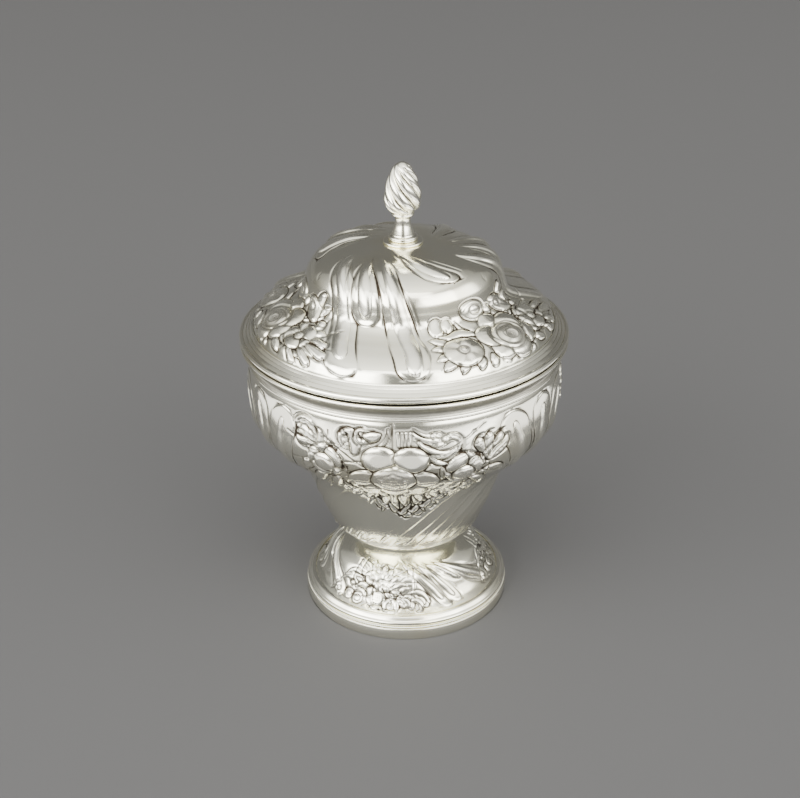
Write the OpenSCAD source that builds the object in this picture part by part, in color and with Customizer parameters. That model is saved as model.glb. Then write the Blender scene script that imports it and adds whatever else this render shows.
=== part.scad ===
// Covered sugar bowl on a domed pedestal foot: raised sheet bowl and lid,
// applied wire mouldings, and a cast finial screwed through the lid.
// Origin: centre of the foot's resting edge.  +Z up, -Y is the front.

/* [Overall] */
// Outside diameter of the lid's brim and of the mouth wire
rim_d = 114; // [104:1:124]
// Height from the table to the finial's tip
total_h = 165; // [152:1:178]

/* [Sheet] */
// Thickness of the raised sheet in the bowl, lid and foot
sheet_t = 0.9; // [0.7:0.1:1.2]

/* [Lid seat] */
// Radial clearance between the lid's bezel and the bowl's mouth
bezel_gap = 0.4; // [0.2:0.05:0.6]
// How far the bezel drops into the mouth
bezel_depth = 6; // [4:0.5:8]
// Wall of the bezel strip
bezel_t = 0.9; // [0.7:0.1:1.1]
// Face gap left between the lid's brim and the mouth wire
seat_gap = 0.05; // [0.02:0.01:0.1]

/* [Foot] */
// Height of the plain vertical band under the foot
band_h = 4.3; // [3.5:0.1:4.4]
// Wall of the foot band
band_t = 0.9; // [0.7:0.1:1.4]

/* [Finial] */
// Radius of the screwed stud that holds the finial
stud_r = 1.25; // [1:0.05:1.5]
// Across-corners radius of the hexagonal nut inside the lid
nut_r = 3.3; // [2.8:0.1:3.8]
// Thickness of the washer plate inside the lid
washer_t = 0.8; // [0.5:0.1:1.2]

/* [Hidden] */
$fn = 128;

kr = rim_d / 114;
kz = total_h / 165;
silver = [0.86, 0.855, 0.83];
silver_warm = [0.88, 0.86, 0.81];
inner_silver = [0.74, 0.73, 0.70];

// ---- small geometry helpers ------------------------------------------------
// Profiles are written for the nominal size and scaled here.
function S(P) = [for (p = P) [p[0] * kr, p[1] * kz]];
function cr(a, b, c, d, t) =
  0.5 * (2 * b + (c - a) * t + (2 * a - 5 * b + 4 * c - d) * t * t
         + (3 * b - a - 3 * c + d) * t * t * t);
// A smooth curve through every point of P, n steps between neighbours
function smooth(P, n = 4) = let (m = len(P) - 1) [
  for (i = [0 : m - 1])
    let (a = i == 0 ? 2 * P[0] - P[1] : P[i - 1],
         d = i == m - 1 ? 2 * P[m] - P[m - 1] : P[i + 2])
    for (k = [0 : n - 1]) cr(a, P[i], P[i + 1], d, k / n),
  P[m]
];
// The same curve moved to its right-hand side by w
function shifted(Q, w) = [
  for (i = [0 : len(Q) - 1])
    let (a = Q[max(i - 1, 0)], b = Q[min(i + 1, len(Q) - 1)],
         d = (b - a) / norm(b - a))
    Q[i] + w * [d[1], -d[0]]
];
function back(P) = [for (i = [len(P) - 1 : -1 : 0]) P[i]];
module turned(P) { rotate_extrude() polygon(P); }
module ring(ro, ri, z0, z1) {
  rotate_extrude() translate([ri, z0]) square([ro - ri, z1 - z0]);
}
// Half-round or full-round wire bent into a ring
module wire(r, z, d) { rotate_extrude() translate([r, z]) circle(d = d, $fn = 32); }

// ---- key levels and radii --------------------------------------------------
band_r = 37.7 * kr;            // foot band
mouth_r = 53 * kr;             // outside of the bowl's straight mouth
mouth_z = 104.3 * kz;          // top of the bowl's mouth
mouth_in = mouth_r - sheet_t;
bezel_r = mouth_in - bezel_gap;
seat_z = mouth_z + seat_gap;   // underside of the lid's brim
top_z = 137.3 * kz;            // flat seat of the finial on the lid
neck_r = 16 * kr;              // top of the foot, under the bowl
neck_z = 28.2 * kz;            // flat underside of the bowl

// ---- curves of the raised pieces --------------------------------------------
// Bowl, from the mouth down: a short collar, a full shoulder, a waist that
// runs in under it, a tapering lower body and a sharp turn at the bottom edge
bowl_curve = smooth(S([
  [53, 98.2], [53.7, 97], [54.4, 95], [54.8, 91], [54.8, 85.5], [54.1, 78.2],
  [50.8, 72.3], [46.3, 67.2], [41.6, 63.2], [38.2, 59.6], [35.8, 55.4],
  [34, 50.4], [32.3, 44.9], [30.6, 40.2], [29, 36.4], [27.2, 32.8],
  [25.2, 30.2]
]));
// Foot, from the neck out: a cove, a rounded shoulder and a flared skirt
foot_curve = smooth(S([
  [16, 28.2], [16.2, 26.2], [17.1, 24.3], [18.9, 22.8], [21.2, 21.7],
  [23.8, 20.5], [26.2, 18.7], [28.1, 15.9], [29.7, 12.6], [31.6, 9.8],
  [34, 8.2]
]));
// Lid, from the finial seat out: a flat crown, a steep shoulder, a waist,
// a shelf and a full lower swelling
lid_curve = smooth(S([
  [7.2, 137.3], [12.5, 137], [19, 136.4], [25.5, 134.8], [30, 132.3],
  [32.6, 128.8], [33.7, 125], [34.4, 121.8], [36, 119.7], [38.6, 118.5],
  [42.6, 117.3], [47, 115.4], [50.2, 113], [51.8, 110]
]));

// ---- bowl ------------------------------------------------------------------
module bowl_shell() {
  outer = concat([[mouth_r, mouth_z]], bowl_curve,
                 S([[23.4, 28.9], [20.8, 28.4], [18, 28.2]]));
  inner = shifted(bowl_curve, sheet_t);
  floor_z = neck_z + sheet_t + 1.2 * kz;
  color(silver)
    turned(concat(
      [[0, neck_z]], back(outer),
      [[mouth_in, mouth_z], [mouth_in, 98.2 * kz]],
      [for (i = [2 : len(inner) - 1]) inner[i]],
      [[23.2 * kr, floor_z + 0.4], [21 * kr, floor_z], [0, floor_z]]));
}
// Drawn moulding soldered round the mouth: a thin wire over a cove
module bowl_mouth_moulding() {
  color(silver)
    turned(concat(
      [[mouth_r, mouth_z]],
      S([[55.9, 104.3], [56.6, 104.15], [56.95, 103.75], [56.95, 103.3],
         [56.6, 102.95]]),
      smooth(S([[56.2, 102.7], [55.2, 101.7], [54.55, 100.5], [54.4, 99.4],
                [54.75, 98.7]]), 3),
      [[mouth_r, 98.7 * kz]]));
}
// Fine half-round wire under the moulding
module bowl_mouth_bead() {
  color(silver)
    turned(concat(
      S([[53, 98.7], [54.1, 98.7], [54.55, 98.4], [54.75, 97.9],
         [54.65, 97.4], [54.3, 97.05]]),
      back([for (i = [0 : 4]) bowl_curve[i]])));
}

// ---- foot ------------------------------------------------------------------
module foot_pedestal() {
  inner = shifted(foot_curve, sheet_t);
  color(silver)
    turned(concat(
      foot_curve, S([[35.2, 7.9]]),
      [[35.2 * kr, 7.9 * kz - sheet_t]],
      back([for (i = [1 : len(inner) - 1]) inner[i]]),
      [[neck_r - sheet_t, neck_z]]));
}
// Stepped half-round moulding that hides the joint of pedestal and band
module foot_rim_moulding() {
  color(silver)
    difference() {
      union() {
        turned(S([[34.2, 5.3], [37, 5.3], [37, 6], [35.6, 8.35], [34.9, 8.6],
                  [34.2, 8.45]]));
        wire(36.4 * kr, 6.2 * kz, 1.8);
      }
      ring(35.2 * kr, 30 * kr, 0, 7.9 * kz);
      turned([[30 * kr, 5 * kz], [foot_curve[len(foot_curve) - 1][0], 5 * kz],
              foot_curve[len(foot_curve) - 1],
              foot_curve[len(foot_curve) - 4], [30 * kr, 12 * kz]]);
      turned(S([[34, 8.2], [35.2, 7.9], [35.2, 5], [34, 5]]));
      ring(40 * kr, 30 * kr, 4 * kz, 5.3 * kz);
    }
}
// Fine milled strip between the moulding and the band
module foot_milled_wire() {
  color(silver)
    turned([[35.6 * kr, band_h * kz], [37.4 * kr, band_h * kz],
            [37.6 * kr, (band_h + 5.3) / 2 * kz], [37.4 * kr, 5.3 * kz],
            [35.6 * kr, 5.3 * kz]]);
}
// Plain vertical band that the bowl stands on
module foot_band() {
  color(silver_warm) ring(band_r, band_r - band_t, 0, band_h * kz);
}

// ---- lid -------------------------------------------------------------------
module lid_dome() {
  inner = shifted(lid_curve, sheet_t);
  n = len(lid_curve) - 1;
  color(silver)
    turned(concat(
      [[stud_r, top_z]], lid_curve,
      S([[52.1, 109]]), [[52.1 * kr - sheet_t, 109 * kz]],
      back([for (i = [1 : n]) inner[i]]),
      [[7.2 * kr, top_z - sheet_t], [stud_r, top_z - sheet_t]]));
}
// Sloping brim with three turned lines and a rounded edge
module lid_brim_moulding() {
  color(silver)
    turned(concat(
      [[bezel_r, seat_z], [55.2 * kr, seat_z]],
      S([[56, 104.75], [56.7, 105.15], [57, 105.7], [57, 106.2], [56.75, 106.7],
         [56.3, 106.95], [55.9, 106.95], [55.7, 106.8], [54.5, 107.65],
         [54.4, 107.55], [53.5, 108.35], [53.4, 108.25], [52.6, 109.1],
         [52.5, 109.05], [52.1, 109.6], [52.1, 109]]),
      [[52.1 * kr - sheet_t, 109 * kz], [bezel_r, 107.6 * kz]]));
}
// Plain strip inside the brim that drops into the bowl's mouth
module lid_bezel() {
  color(inner_silver) ring(bezel_r, bezel_r - bezel_t, mouth_z - bezel_depth, 107.6 * kz);
}

// ---- finial ----------------------------------------------------------------
module finial_base_disc() {
  color(silver)
    turned(concat([[stud_r, top_z]],
      S([[6.5, 137.3], [6.8, 137.6], [6.8, 137.95], [6.5, 138.25], [5.6, 138.3]]),
      [[stud_r, 138.3 * kz]]));
}
// Turned spool: a stepped base, a cone drawn in to a waist and a small collar
module finial_stem() {
  color(silver)
    turned(concat([[stud_r, 138.3 * kz]],
      S([[4.4, 138.3], [4.9, 138.6], [5, 139.1], [4.85, 139.6], [4.4, 139.9],
         [3.9, 140], [3.8, 140.3]]),
      smooth(S([[3.75, 140.6], [3.3, 142.2], [2.8, 143.8], [2.6, 145],
                [2.65, 146], [3.1, 146.6]]), 3),
      S([[3.7, 146.9], [3.95, 147.3], [3.8, 147.7], [3.4, 147.9]]),
      [[stud_r, 147.9 * kz]]));
}
// Cast wrythen flame; the solid here is its plain outer form
module finial_flame() {
  e = smooth(S([[3.4, 147.9], [4.9, 148.8], [6, 150.6], [6.4, 152.8],
                [6.1, 155.8], [5.3, 158.8], [4.1, 161.6], [2.6, 163.9],
                [1.1, 164.9]]));
  color(silver)
    turned(concat([[stud_r, 147.9 * kz]], e, [[0, 165 * kz], [0, 151 * kz],
                  [stud_r, 151 * kz]]));
}
module finial_stud() {
  color(inner_silver)
    translate([0, 0, top_z - sheet_t - washer_t - 3])
      cylinder(r = stud_r, h = 151 * kz - (top_z - sheet_t - washer_t - 3));
}
module finial_washer() {
  color(inner_silver) ring(5.5 * kr, stud_r, top_z - sheet_t - washer_t, top_z - sheet_t);
}
module finial_nut() {
  z1 = top_z - sheet_t - washer_t;
  color(inner_silver)
    difference() {
      translate([0, 0, z1 - 2.2]) cylinder(r = nut_r, h = 2.2, $fn = 6);
      translate([0, 0, z1 - 3]) cylinder(r = stud_r, h = 4);
    }
}

bowl_shell();
bowl_mouth_moulding();
bowl_mouth_bead();
foot_pedestal();
foot_rim_moulding();
foot_milled_wire();
foot_band();
lid_dome();
lid_brim_moulding();
lid_bezel();
finial_base_disc();
finial_stem();
finial_flame();
finial_stud();
finial_washer();
finial_nut();
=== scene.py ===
import math

import bpy
import numpy as np
from mathutils import Matrix, Vector


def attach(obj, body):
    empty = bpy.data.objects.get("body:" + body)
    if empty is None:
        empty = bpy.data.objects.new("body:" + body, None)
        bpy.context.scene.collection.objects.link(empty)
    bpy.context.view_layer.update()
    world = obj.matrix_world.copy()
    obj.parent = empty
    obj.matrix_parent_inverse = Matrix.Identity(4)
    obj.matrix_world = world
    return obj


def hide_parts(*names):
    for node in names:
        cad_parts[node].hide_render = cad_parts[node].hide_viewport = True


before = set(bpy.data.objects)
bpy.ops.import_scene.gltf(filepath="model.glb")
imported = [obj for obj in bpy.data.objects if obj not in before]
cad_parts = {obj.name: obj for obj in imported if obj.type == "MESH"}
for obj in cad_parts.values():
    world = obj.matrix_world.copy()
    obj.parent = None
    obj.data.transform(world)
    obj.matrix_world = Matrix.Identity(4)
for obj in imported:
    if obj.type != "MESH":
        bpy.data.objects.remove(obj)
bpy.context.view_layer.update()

rng = np.random.default_rng(7)
MM = 0.001
rad = np.radians


# ------------------------------------------------------------------ curves
def smooth(P, n=16):
    """A Catmull-Rom curve through the points of P."""
    P = np.asarray(P, float)
    Q = np.vstack([2 * P[0] - P[1], P, 2 * P[-1] - P[-2]])
    out = []
    for i in range(1, len(Q) - 2):
        a, b, c, d = Q[i - 1], Q[i], Q[i + 1], Q[i + 2]
        for k in range(n):
            t = k / n
            out.append(0.5 * (2 * b + (c - a) * t + (2 * a - 5 * b + 4 * c - d) * t * t
                              + (3 * b - a - 3 * c + d) * t ** 3))
    out.append(P[-1])
    return np.array(out)


def arc(cx, cz, r, a0, a1, n=12):
    t = rad(np.linspace(a0, a1, n))
    return np.stack([cx + r * np.cos(t), cz + r * np.sin(t)], 1)


def blur(a, k0, k1):
    """Separable blur, wrapped round in the second axis."""
    for axis, k in ((0, k0), (1, k1)):
        if k <= 0:
            continue
        m = int(3 * k + 1)
        w = np.exp(-0.5 * (np.arange(-m, m + 1) / k) ** 2)
        w /= w.sum()
        if axis == 1:
            p = np.concatenate([a[:, -m:], a, a[:, :m]], 1)
            a = sum(w[i] * p[:, i:i + a.shape[1]] for i in range(2 * m + 1))
        else:
            p = np.concatenate([np.repeat(a[:1], m, 0), a, np.repeat(a[-1:], m, 0)], 0)
            a = sum(w[i] * p[i:i + a.shape[0]] for i in range(2 * m + 1))
    return a


def sstep(x, a, b):
    t = np.clip((x - a) / (b - a), 0, 1)
    return t * t * (3 - 2 * t)


# ------------------------------------------------------------------ relief
class Skin:
    """A surface of revolution whose relief is raised and chased in one third of a turn and repeated three times.
    Angles are degrees from the front, positive to the front viewer's right; s is the distance along the profile in mm."""

    def __init__(self, ctrl, nsec, ds, raised=0.6, cut=0.8, ink=1.0):
        self.raised, self.cut, self.ink = raised, cut, ink
        C = smooth(ctrl, 24)
        L = np.r_[0, np.cumsum(np.hypot(*np.diff(C, axis=0).T))]
        n = int(L[-1] / ds) + 1
        self.S = np.linspace(0, L[-1], n)
        self.R = np.interp(self.S, L, C[:, 0])
        self.Z = np.interp(self.S, L, C[:, 1])
        dr, dz = np.gradient(self.R), np.gradient(self.Z)
        m = np.hypot(dr, dz)
        self.N = np.stack([-dz / m, dr / m], 1)  # outward when s runs downwards
        self.ns, self.nt = n, nsec
        self.th = np.arange(nsec) * 120.0 / nsec
        self.h = np.zeros((n, nsec))
        # darkness map: tarnish in the chased lines and hollows, plus painted shade where the bowl's bottom edge adds it
        self.patina_and_shade_map = np.zeros((n, nsec))
        self.ds = L[-1] / (n - 1)

    def r_at(self, s):
        return np.interp(s, self.S, self.R)

    def window(self, th, dth, s0, s1):
        i0 = int(np.clip(np.searchsorted(self.S, s0), 0, self.ns - 1))
        i1 = int(np.clip(np.searchsorted(self.S, s1) + 1, i0 + 1, self.ns))
        d = (self.th - th + 60) % 120 - 60
        c = np.where(np.abs(d) <= dth)[0]
        X = self.R[i0:i1, None] * rad(d[c])[None, :]
        Y = np.repeat(self.S[i0:i1, None], len(c), 1)
        return np.ix_(np.arange(i0, i1), c), X, Y, d[c]

    def local(self, P, thc):
        P = np.asarray(P, float)
        return np.stack([self.r_at(P[:, 1]) * rad(P[:, 0] - thc), P[:, 1]], 1)

    def put(self, ix, d, prof, line=0.28, lw=0.3, base=0.0, keep=0.0, dark=1.0, shoulder=0.0):
        """Lays a raised form over what is there. d is mm inside its outline, prof its height there."""
        h = self.h[ix]
        ins = sstep(d, -0.16, 0.2)
        h = h * (1 - ins) + ins * (self.raised * (base + prof) + keep * h)
        if line:
            g = np.exp(-((d + 0.05) / (lw * self.ink)) ** 2)
            h -= self.cut * line * g
            p = self.patina_and_shade_map[ix] * (1 - 0.8 * ins)
            self.patina_and_shade_map[ix] = np.maximum(p, dark * np.exp(-((d + 0.08) / (lw * 0.72 * self.ink)) ** 2))
        self.h[ix] = h

    def stroke(self, P, W, H=0.8, line=0.28, vein=0.0, base=0.0, keep=0.0, lw=0.3, sub=4, flat=2.0, dark=1.0, add=False):
        """A tapering raised band along P, a list of (angle, s), half widths W in mm."""
        P = np.asarray(P, float)
        W = np.asarray(W, float)
        if len(P) > 2 and sub > 1:
            W = np.clip(smooth(W[:, None], sub)[:, 0], 0.12, None)
            P = smooth(P, sub)
        m = W.max() + 1.2
        s0, s1 = P[:, 1].min() - m, P[:, 1].max() + m
        thc = (P[:, 0].min() + P[:, 0].max()) / 2
        rr = max(6.0, self.r_at(np.linspace(s0, s1, 9)).min())
        dth = min(59.0, (P[:, 0].max() - P[:, 0].min()) / 2 + np.degrees(m / rr))
        ix, X, Y, _ = self.window(thc, dth, s0, s1)
        Q = self.local(P, thc)
        best = np.full(X.shape, -1e9)
        rel = np.ones(X.shape)
        dc = np.full(X.shape, 1e9)
        for k in range(len(Q) - 1):
            a, b = Q[k], Q[k + 1]
            ab = b - a
            L2 = max(ab @ ab, 1e-9)
            t = np.clip(((X - a[0]) * ab[0] + (Y - a[1]) * ab[1]) / L2, 0, 1)
            dist = np.hypot(X - a[0] - t * ab[0], Y - a[1] - t * ab[1])
            w = W[k] + (W[k + 1] - W[k]) * t
            v = w - dist
            u = v > best
            best = np.where(u, v, best)
            rel = np.where(u, dist / w, rel)
            dc = np.where(u, dist, dc)
        hh = 1.05 * H * np.clip(1 - np.clip(rel, 0, 1) ** flat, 0, 1) ** 0.75
        if vein:
            hh = hh - vein * np.exp(-(dc / 0.28) ** 2)
        if add:
            self.h[ix] = self.h[ix] + self.raised * np.where(best > 0, hh, 0)
            if line:
                g = np.exp(-(best / lw) ** 2)
                self.h[ix] -= self.cut * line * g
                self.patina_and_shade_map[ix] = np.maximum(self.patina_and_shade_map[ix], dark * g)
        else:
            self.put(ix, best, hh, line, lw, base, keep, dark)
        return ix, X, Y, best

    def groove(self, P, depth=0.3, w=0.28, sub=4, dark=1.0, taper=True):
        P = np.asarray(P, float)
        if len(P) > 2:
            P = smooth(P, sub)
        n = len(P)
        t = np.linspace(0, 1, n)
        f = np.sin(np.pi * np.clip(t * 0.9 + 0.05, 0, 1)) ** 0.5 if taper else np.ones(n)
        m = 1.5
        s0, s1 = P[:, 1].min() - m, P[:, 1].max() + m
        thc = (P[:, 0].min() + P[:, 0].max()) / 2
        rr = max(6.0, self.r_at(np.linspace(s0, s1, 9)).min())
        dth = min(59.0, (P[:, 0].max() - P[:, 0].min()) / 2 + np.degrees(m / rr))
        ix, X, Y, _ = self.window(thc, dth, s0, s1)
        Q = self.local(P, thc)
        g = np.zeros(X.shape)
        for k in range(n - 1):
            a, b = Q[k], Q[k + 1]
            ab = b - a
            L2 = max(ab @ ab, 1e-9)
            u = np.clip(((X - a[0]) * ab[0] + (Y - a[1]) * ab[1]) / L2, 0, 1)
            dist = np.hypot(X - a[0] - u * ab[0], Y - a[1] - u * ab[1])
            g = np.maximum(g, (f[k] + (f[k + 1] - f[k]) * u) * np.exp(-(dist / w) ** 2))
        self.h[ix] -= self.cut * depth * g
        self.patina_and_shade_map[ix] = np.maximum(self.patina_and_shade_map[ix], dark * np.clip(g, 0, 1) ** 1.6)

    def blob(self, th, s, a, b, rot=0.0, H=1.0, line=0.28, p=2.0, base=0.0, keep=0.0, dish=0.0, lw=0.3, dark=1.0, ribs=0, rib=0.0):
        """An oval boss, a by b mm, turned by rot degrees (clockwise on the surface)."""
        m = max(a, b) + 1.5
        rr = max(5.0, self.r_at(np.array([s - m, s, s + m])).min())
        ix, X, Y, _ = self.window(th, min(59.0, np.degrees(m / rr) * 1.15), s - m, s + m)
        Y = Y - s
        c, q = math.cos(rad(rot)), math.sin(rad(rot))
        U, V = X * c + Y * q, -X * q + Y * c
        e = np.sqrt((U / a) ** 2 + (V / b) ** 2) + 1e-6
        grad = np.sqrt((U / a ** 2) ** 2 + (V / b ** 2) ** 2) / e + 1e-6
        d = (1 - e) / grad
        hh = 1.12 * H * np.clip(1 - np.clip(e, 0, 1) ** p, 0, 1) ** 0.82
        if dish:
            hh = hh - dish * np.exp(-(e / 0.45) ** 2)
        if ribs:
            hh = hh + rib * np.cos(ribs * np.arctan2(V, U)) * sstep(e, 0.15, 0.5) * (1 - sstep(e, 0.8, 1.0))
        self.put(ix, d, hh, line, lw, base, keep, dark)

    def at(self, th, s, x, y):
        """The point x mm right and y mm down from (th, s)."""
        return (th + math.degrees(x / float(self.r_at(s + y * 0.5))), s + y)

    def petal(self, th, s, ang, L, W, H=1.0, base=0.0, tip=0.62, vein=0.25, start=0.0, line=0.3, cup=0.0, notch=0.0):
        """A petal from (th, s), L mm long in direction ang (0 = right, 90 = down), W mm half width."""
        c, q = math.cos(rad(ang)), math.sin(rad(ang))
        m = L + W + 1.5
        rr = max(5.0, self.r_at(np.array([s - m, s, s + m])).min())
        ix, X, Y, _ = self.window(th, min(59.0, np.degrees(m / rr) * 1.1), s - m, s + m)
        Y = Y - s
        U, V = X * c + Y * q, -X * q + Y * c
        u = U / L
        u0 = tip
        shape = np.where(u < u0, np.sin(np.pi / 2 * np.clip((u - start) / (u0 - start), 0, 1)) ** 0.8,
                         np.sqrt(np.clip(1 - ((u - u0) / (1 - u0)) ** 2, 0, 1)))
        if notch:
            Ln = 1 - notch * np.exp(-(V / (0.3 * W)) ** 2)
            shape = np.where(u < u0, shape, np.sqrt(np.clip(1 - ((u - u0) / np.maximum(Ln - u0, 0.05)) ** 2, 0, 1)))
        w = np.clip(W * shape, 1e-3, None)
        F = 1 - (V / w) ** 2
        F = np.where(u > 1, 1 - (V / W) ** 2 - 6 * (u - 1) * L / W - 1, F)
        F = np.where(u < start, -1 + (u - start) * 3, F)
        F = np.clip(F, -6, 1)
        gy, gx = np.gradient(F)
        dx = np.gradient(X, axis=1)
        g = np.hypot(gx / np.maximum(dx, 1e-3), gy / self.ds)
        d = np.where(F > 0, np.minimum(F / np.maximum(g, 0.15), w), F / np.maximum(g, 0.15))
        hh = 1.05 * H * np.clip(F, 0, 1) ** 0.72 * (0.5 + 0.5 * sstep(u, 0.0, 0.6))
        if cup:
            hh = hh - cup * np.exp(-((u - 0.62) / 0.25) ** 2 - (V / (0.55 * W)) ** 2)
        if vein:
            hh = hh - vein * np.exp(-(V / 0.26) ** 2) * sstep(u, 0.05, 0.2) * (1 - sstep(u, 0.5, 0.85))
        self.put(ix, d, hh, line, 0.3, base)

    def lobe(self, C, W, H=0.7, rib=None, line=0.22, ends=(0, 1), power=0.6, fade=0.0, lw=0.35, keep=0.0, dark=1.0, rdark=0.4, fade_end=0.0, tips=0):
        """A long swirling lobe.  C lists (s, angle) down its middle and W lists (s, half width in mm).
        ends says which ends are round; rib is (from s, to s, half width, height) of the ridge along its middle."""
        C = np.asarray(C, float)
        W = np.asarray(W, float)
        t = np.linspace(0, 1, len(C))
        ss = smooth(C, 12)
        s0, s1 = C[0, 0], C[-1, 0]
        rows = np.where((self.S >= s0 - 1.2) & (self.S <= s1 + 1.2))[0]
        S = self.S[rows]
        thc = np.interp(S, ss[:, 0], ss[:, 1])
        slope = np.gradient(thc, S) if len(S) > 2 else np.zeros(len(S))
        w = np.interp(S, smooth(W, 8)[:, 0], smooth(W, 8)[:, 1])
        R = self.R[rows]
        if ends[0]:
            re = ends[0]
            w = w * np.sqrt(np.clip(1 - (np.clip(s0 + re - S, 0, None) / re) ** 2, 0, 1))
        if ends[1]:
            re = ends[1]
            w = w * np.sqrt(np.clip(1 - (np.clip(S - s1 + re, 0, None) / re) ** 2, 0, 1))
        lean = np.cos(np.arctan(R * rad(slope)))
        dth = (self.th[None, :] - thc[:, None] + 60) % 120 - 60
        X = R[:, None] * rad(dth) * lean[:, None]
        wl = np.clip(w * 1.0, 1e-3, None)[:, None]
        F = np.clip(1 - (X / wl) ** 2, -6, 1)
        gy = np.gradient(F, axis=0) / self.ds
        dx = np.maximum(np.abs(np.gradient(X, axis=1)), 1e-3)
        gx = np.gradient(F, axis=1) / dx
        g = np.hypot(gx, gy)
        d = np.where(F > 0, np.minimum(F / np.maximum(g, 0.12), wl), F / np.maximum(g, 0.12))
        hh = H * np.clip(F, 0, 1) ** power
        ins = sstep(d, -0.15, 0.15)
        fade_v = ((S >= s0 - 0.6) & (S <= s1 + 0.6)).astype(float)
        if fade:
            fade_v = fade_v * sstep(S, s0, s0 + fade)
        if fade_end:
            fade_v = fade_v * (1 - sstep(S, s1 - fade_end, s1))
        ix = np.ix_(rows, np.arange(self.nt))
        h = self.h[ix]
        k = ins * fade_v[:, None]
        h = h * (1 - k) + k * (keep * h + hh)
        gl = np.exp(-(d / lw) ** 2) * fade_v[:, None]
        h -= line * gl
        self.patina_and_shade_map[ix] = np.maximum(self.patina_and_shade_map[ix] * (1 - 0.8 * k), dark * gl)
        if rib:
            a, b, rw, rh = rib[:4]
            off = rib[4] if len(rib) > 4 else 0.0
            wr = rw * (0.55 + 0.45 * sstep(S, a, a + (b - a) * 0.7))
            if off == off:
                tip = rw * 1.4
                wr = wr * np.sqrt(np.clip(1 - (np.clip(a + tip - S, 0, None) / tip) ** 2, 0, 1))
                wr = wr * np.sqrt(np.clip(1 - (np.clip(S - b + tip, 0, None) / tip) ** 2, 0, 1))
            wr = np.clip(wr, 1e-3, None)[:, None]
            Fr = np.clip(1 - ((X - off) / wr) ** 2, -6, 1)
            Fr[(S < a) | (S > b)] = -6
            dr = wr - np.abs(X - off)
            fr = fade_v[:, None]
            h = h + fr * np.where(Fr > 0, rh * np.clip(Fr, 0, 1) ** 0.95, 0)
            gr = np.exp(-(dr / 0.26) ** 2) * fr * ((S > a) & (S < b))[:, None]
            h -= 0.12 * gr
            # darkest round the tips, fading along the sides
            tipd = np.minimum(np.abs(S - a), np.abs(b - S))[:, None] if tips else np.zeros((len(S), 1)) + 9
            self.patina_and_shade_map[ix] = np.maximum(self.patina_and_shade_map[ix], np.clip(rdark + 0.8 * np.exp(-(tipd / 2.5) ** 2) * (tips > 0), 0, 1) * gr ** 2)
        self.h[ix] = h


# ------------------------------------------------------------------ motifs
def flower(k, th, s, R, n=5, rot=-90, H=1.0, Wf=0.46, boss=0.3, bossH=0.9, ring=True, seeds=0, base=0.0, sq=1.0, veins=True, notch=0.0):
    """An open flower of n petals with a small centre; sq squashes it along the profile."""
    for i in list(range(0, n, 2)) + list(range(1, n, 2)):
        a = rot + 360.0 * i / n
        L = R * math.hypot(math.cos(rad(a)), sq * math.sin(rad(a)))
        k.petal(th, s, a, L, R * Wf * 1.4, H=H, base=base, tip=0.62, vein=0.0, notch=notch, line=0.3)
        if veins:
            for da in (-13, 0, 13):
                c, q = math.cos(rad(a + da)), math.sin(rad(a + da))
                k.groove([k.at(th, s, c * L * 0.28, q * L * 0.28), k.at(th, s, c * L * 0.6, q * L * 0.6)],
                         0.12, 0.2, sub=1, dark=0.35)
    if boss:
        b = R * boss
        k.blob(th, s, b, b * (0.5 + 0.5 * sq), H=bossH, base=base + 0.35, line=0.35, p=2.2)
        if ring:
            k.blob(th, s, b * 0.5, b * 0.5 * sq, H=0.3, base=base + 0.75, line=0.3, lw=0.22)
    for i in range(seeds):
        a = 2 * math.pi * i / seeds
        p = k.at(th, s, R * boss * 0.68 * math.cos(a), R * boss * 0.68 * math.sin(a) * sq)
        k.blob(p[0], p[1], 0.45, 0.45, H=0.35, base=base + 0.6, line=0.2, lw=0.2)


def leaf(k, P, W, H=0.75, ribs=3, vein=0.22, line=0.3, base=0.0):
    """A pointed leaf along P, widest in its middle, with a midrib and side veins."""
    n = len(P)
    t = np.linspace(0, 1, n)
    W_ = W * np.clip(np.sin(np.pi * (0.12 + 0.86 * t)) ** 0.8, 0.14, 1)
    k.stroke(P, W_, H, line, vein=vein, base=base)
    Q = smooth(np.asarray(P, float), 6)
    for i in range(1, ribs + 1):
        j = int(len(Q) * (0.15 + 0.6 * i / (ribs + 1)))
        j2 = min(len(Q) - 1, j + max(2, len(Q) // 6))
        thm = Q[j, 0]
        a = k.local(Q[[j, j2]], thm)
        d = a[1] - a[0]
        d = d / (np.hypot(*d) + 1e-9)
        nrm = np.array([-d[1], d[0]])
        wv = W * 0.8 * math.sin(math.pi * (0.12 + 0.86 * j / len(Q)))
        for sg in (-1, 1):
            e = d * wv * 0.9 + sg * nrm * wv * 0.75
            k.groove([tuple(Q[j]), k.at(Q[j, 0], Q[j, 1], e[0], e[1])], 0.16, 0.2, sub=1, dark=0.45)


def scroll(k, P, w0=1.1, H=0.7, curl=1.15, line=0.32, side=1, ball=True):
    """A C-scroll: a tapering band with a round curl at its first point."""
    n = len(P)
    t = np.linspace(0, 1, n)
    k.stroke(P, w0 * (1 - 0.78 * t), H * 0.8, line * 0.8, dark=0.55)
    if ball:
        k.blob(P[0][0], P[0][1], curl, curl, H=H * 0.9, base=0.15, line=line * 0.7, dark=0.5)
        k.groove([k.at(P[0][0], P[0][1], curl * 1.08 * math.cos(rad(q)), curl * 1.08 * math.sin(rad(q))) for q in range(130, 330, 33)],
                 0.5, 0.42)


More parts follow.
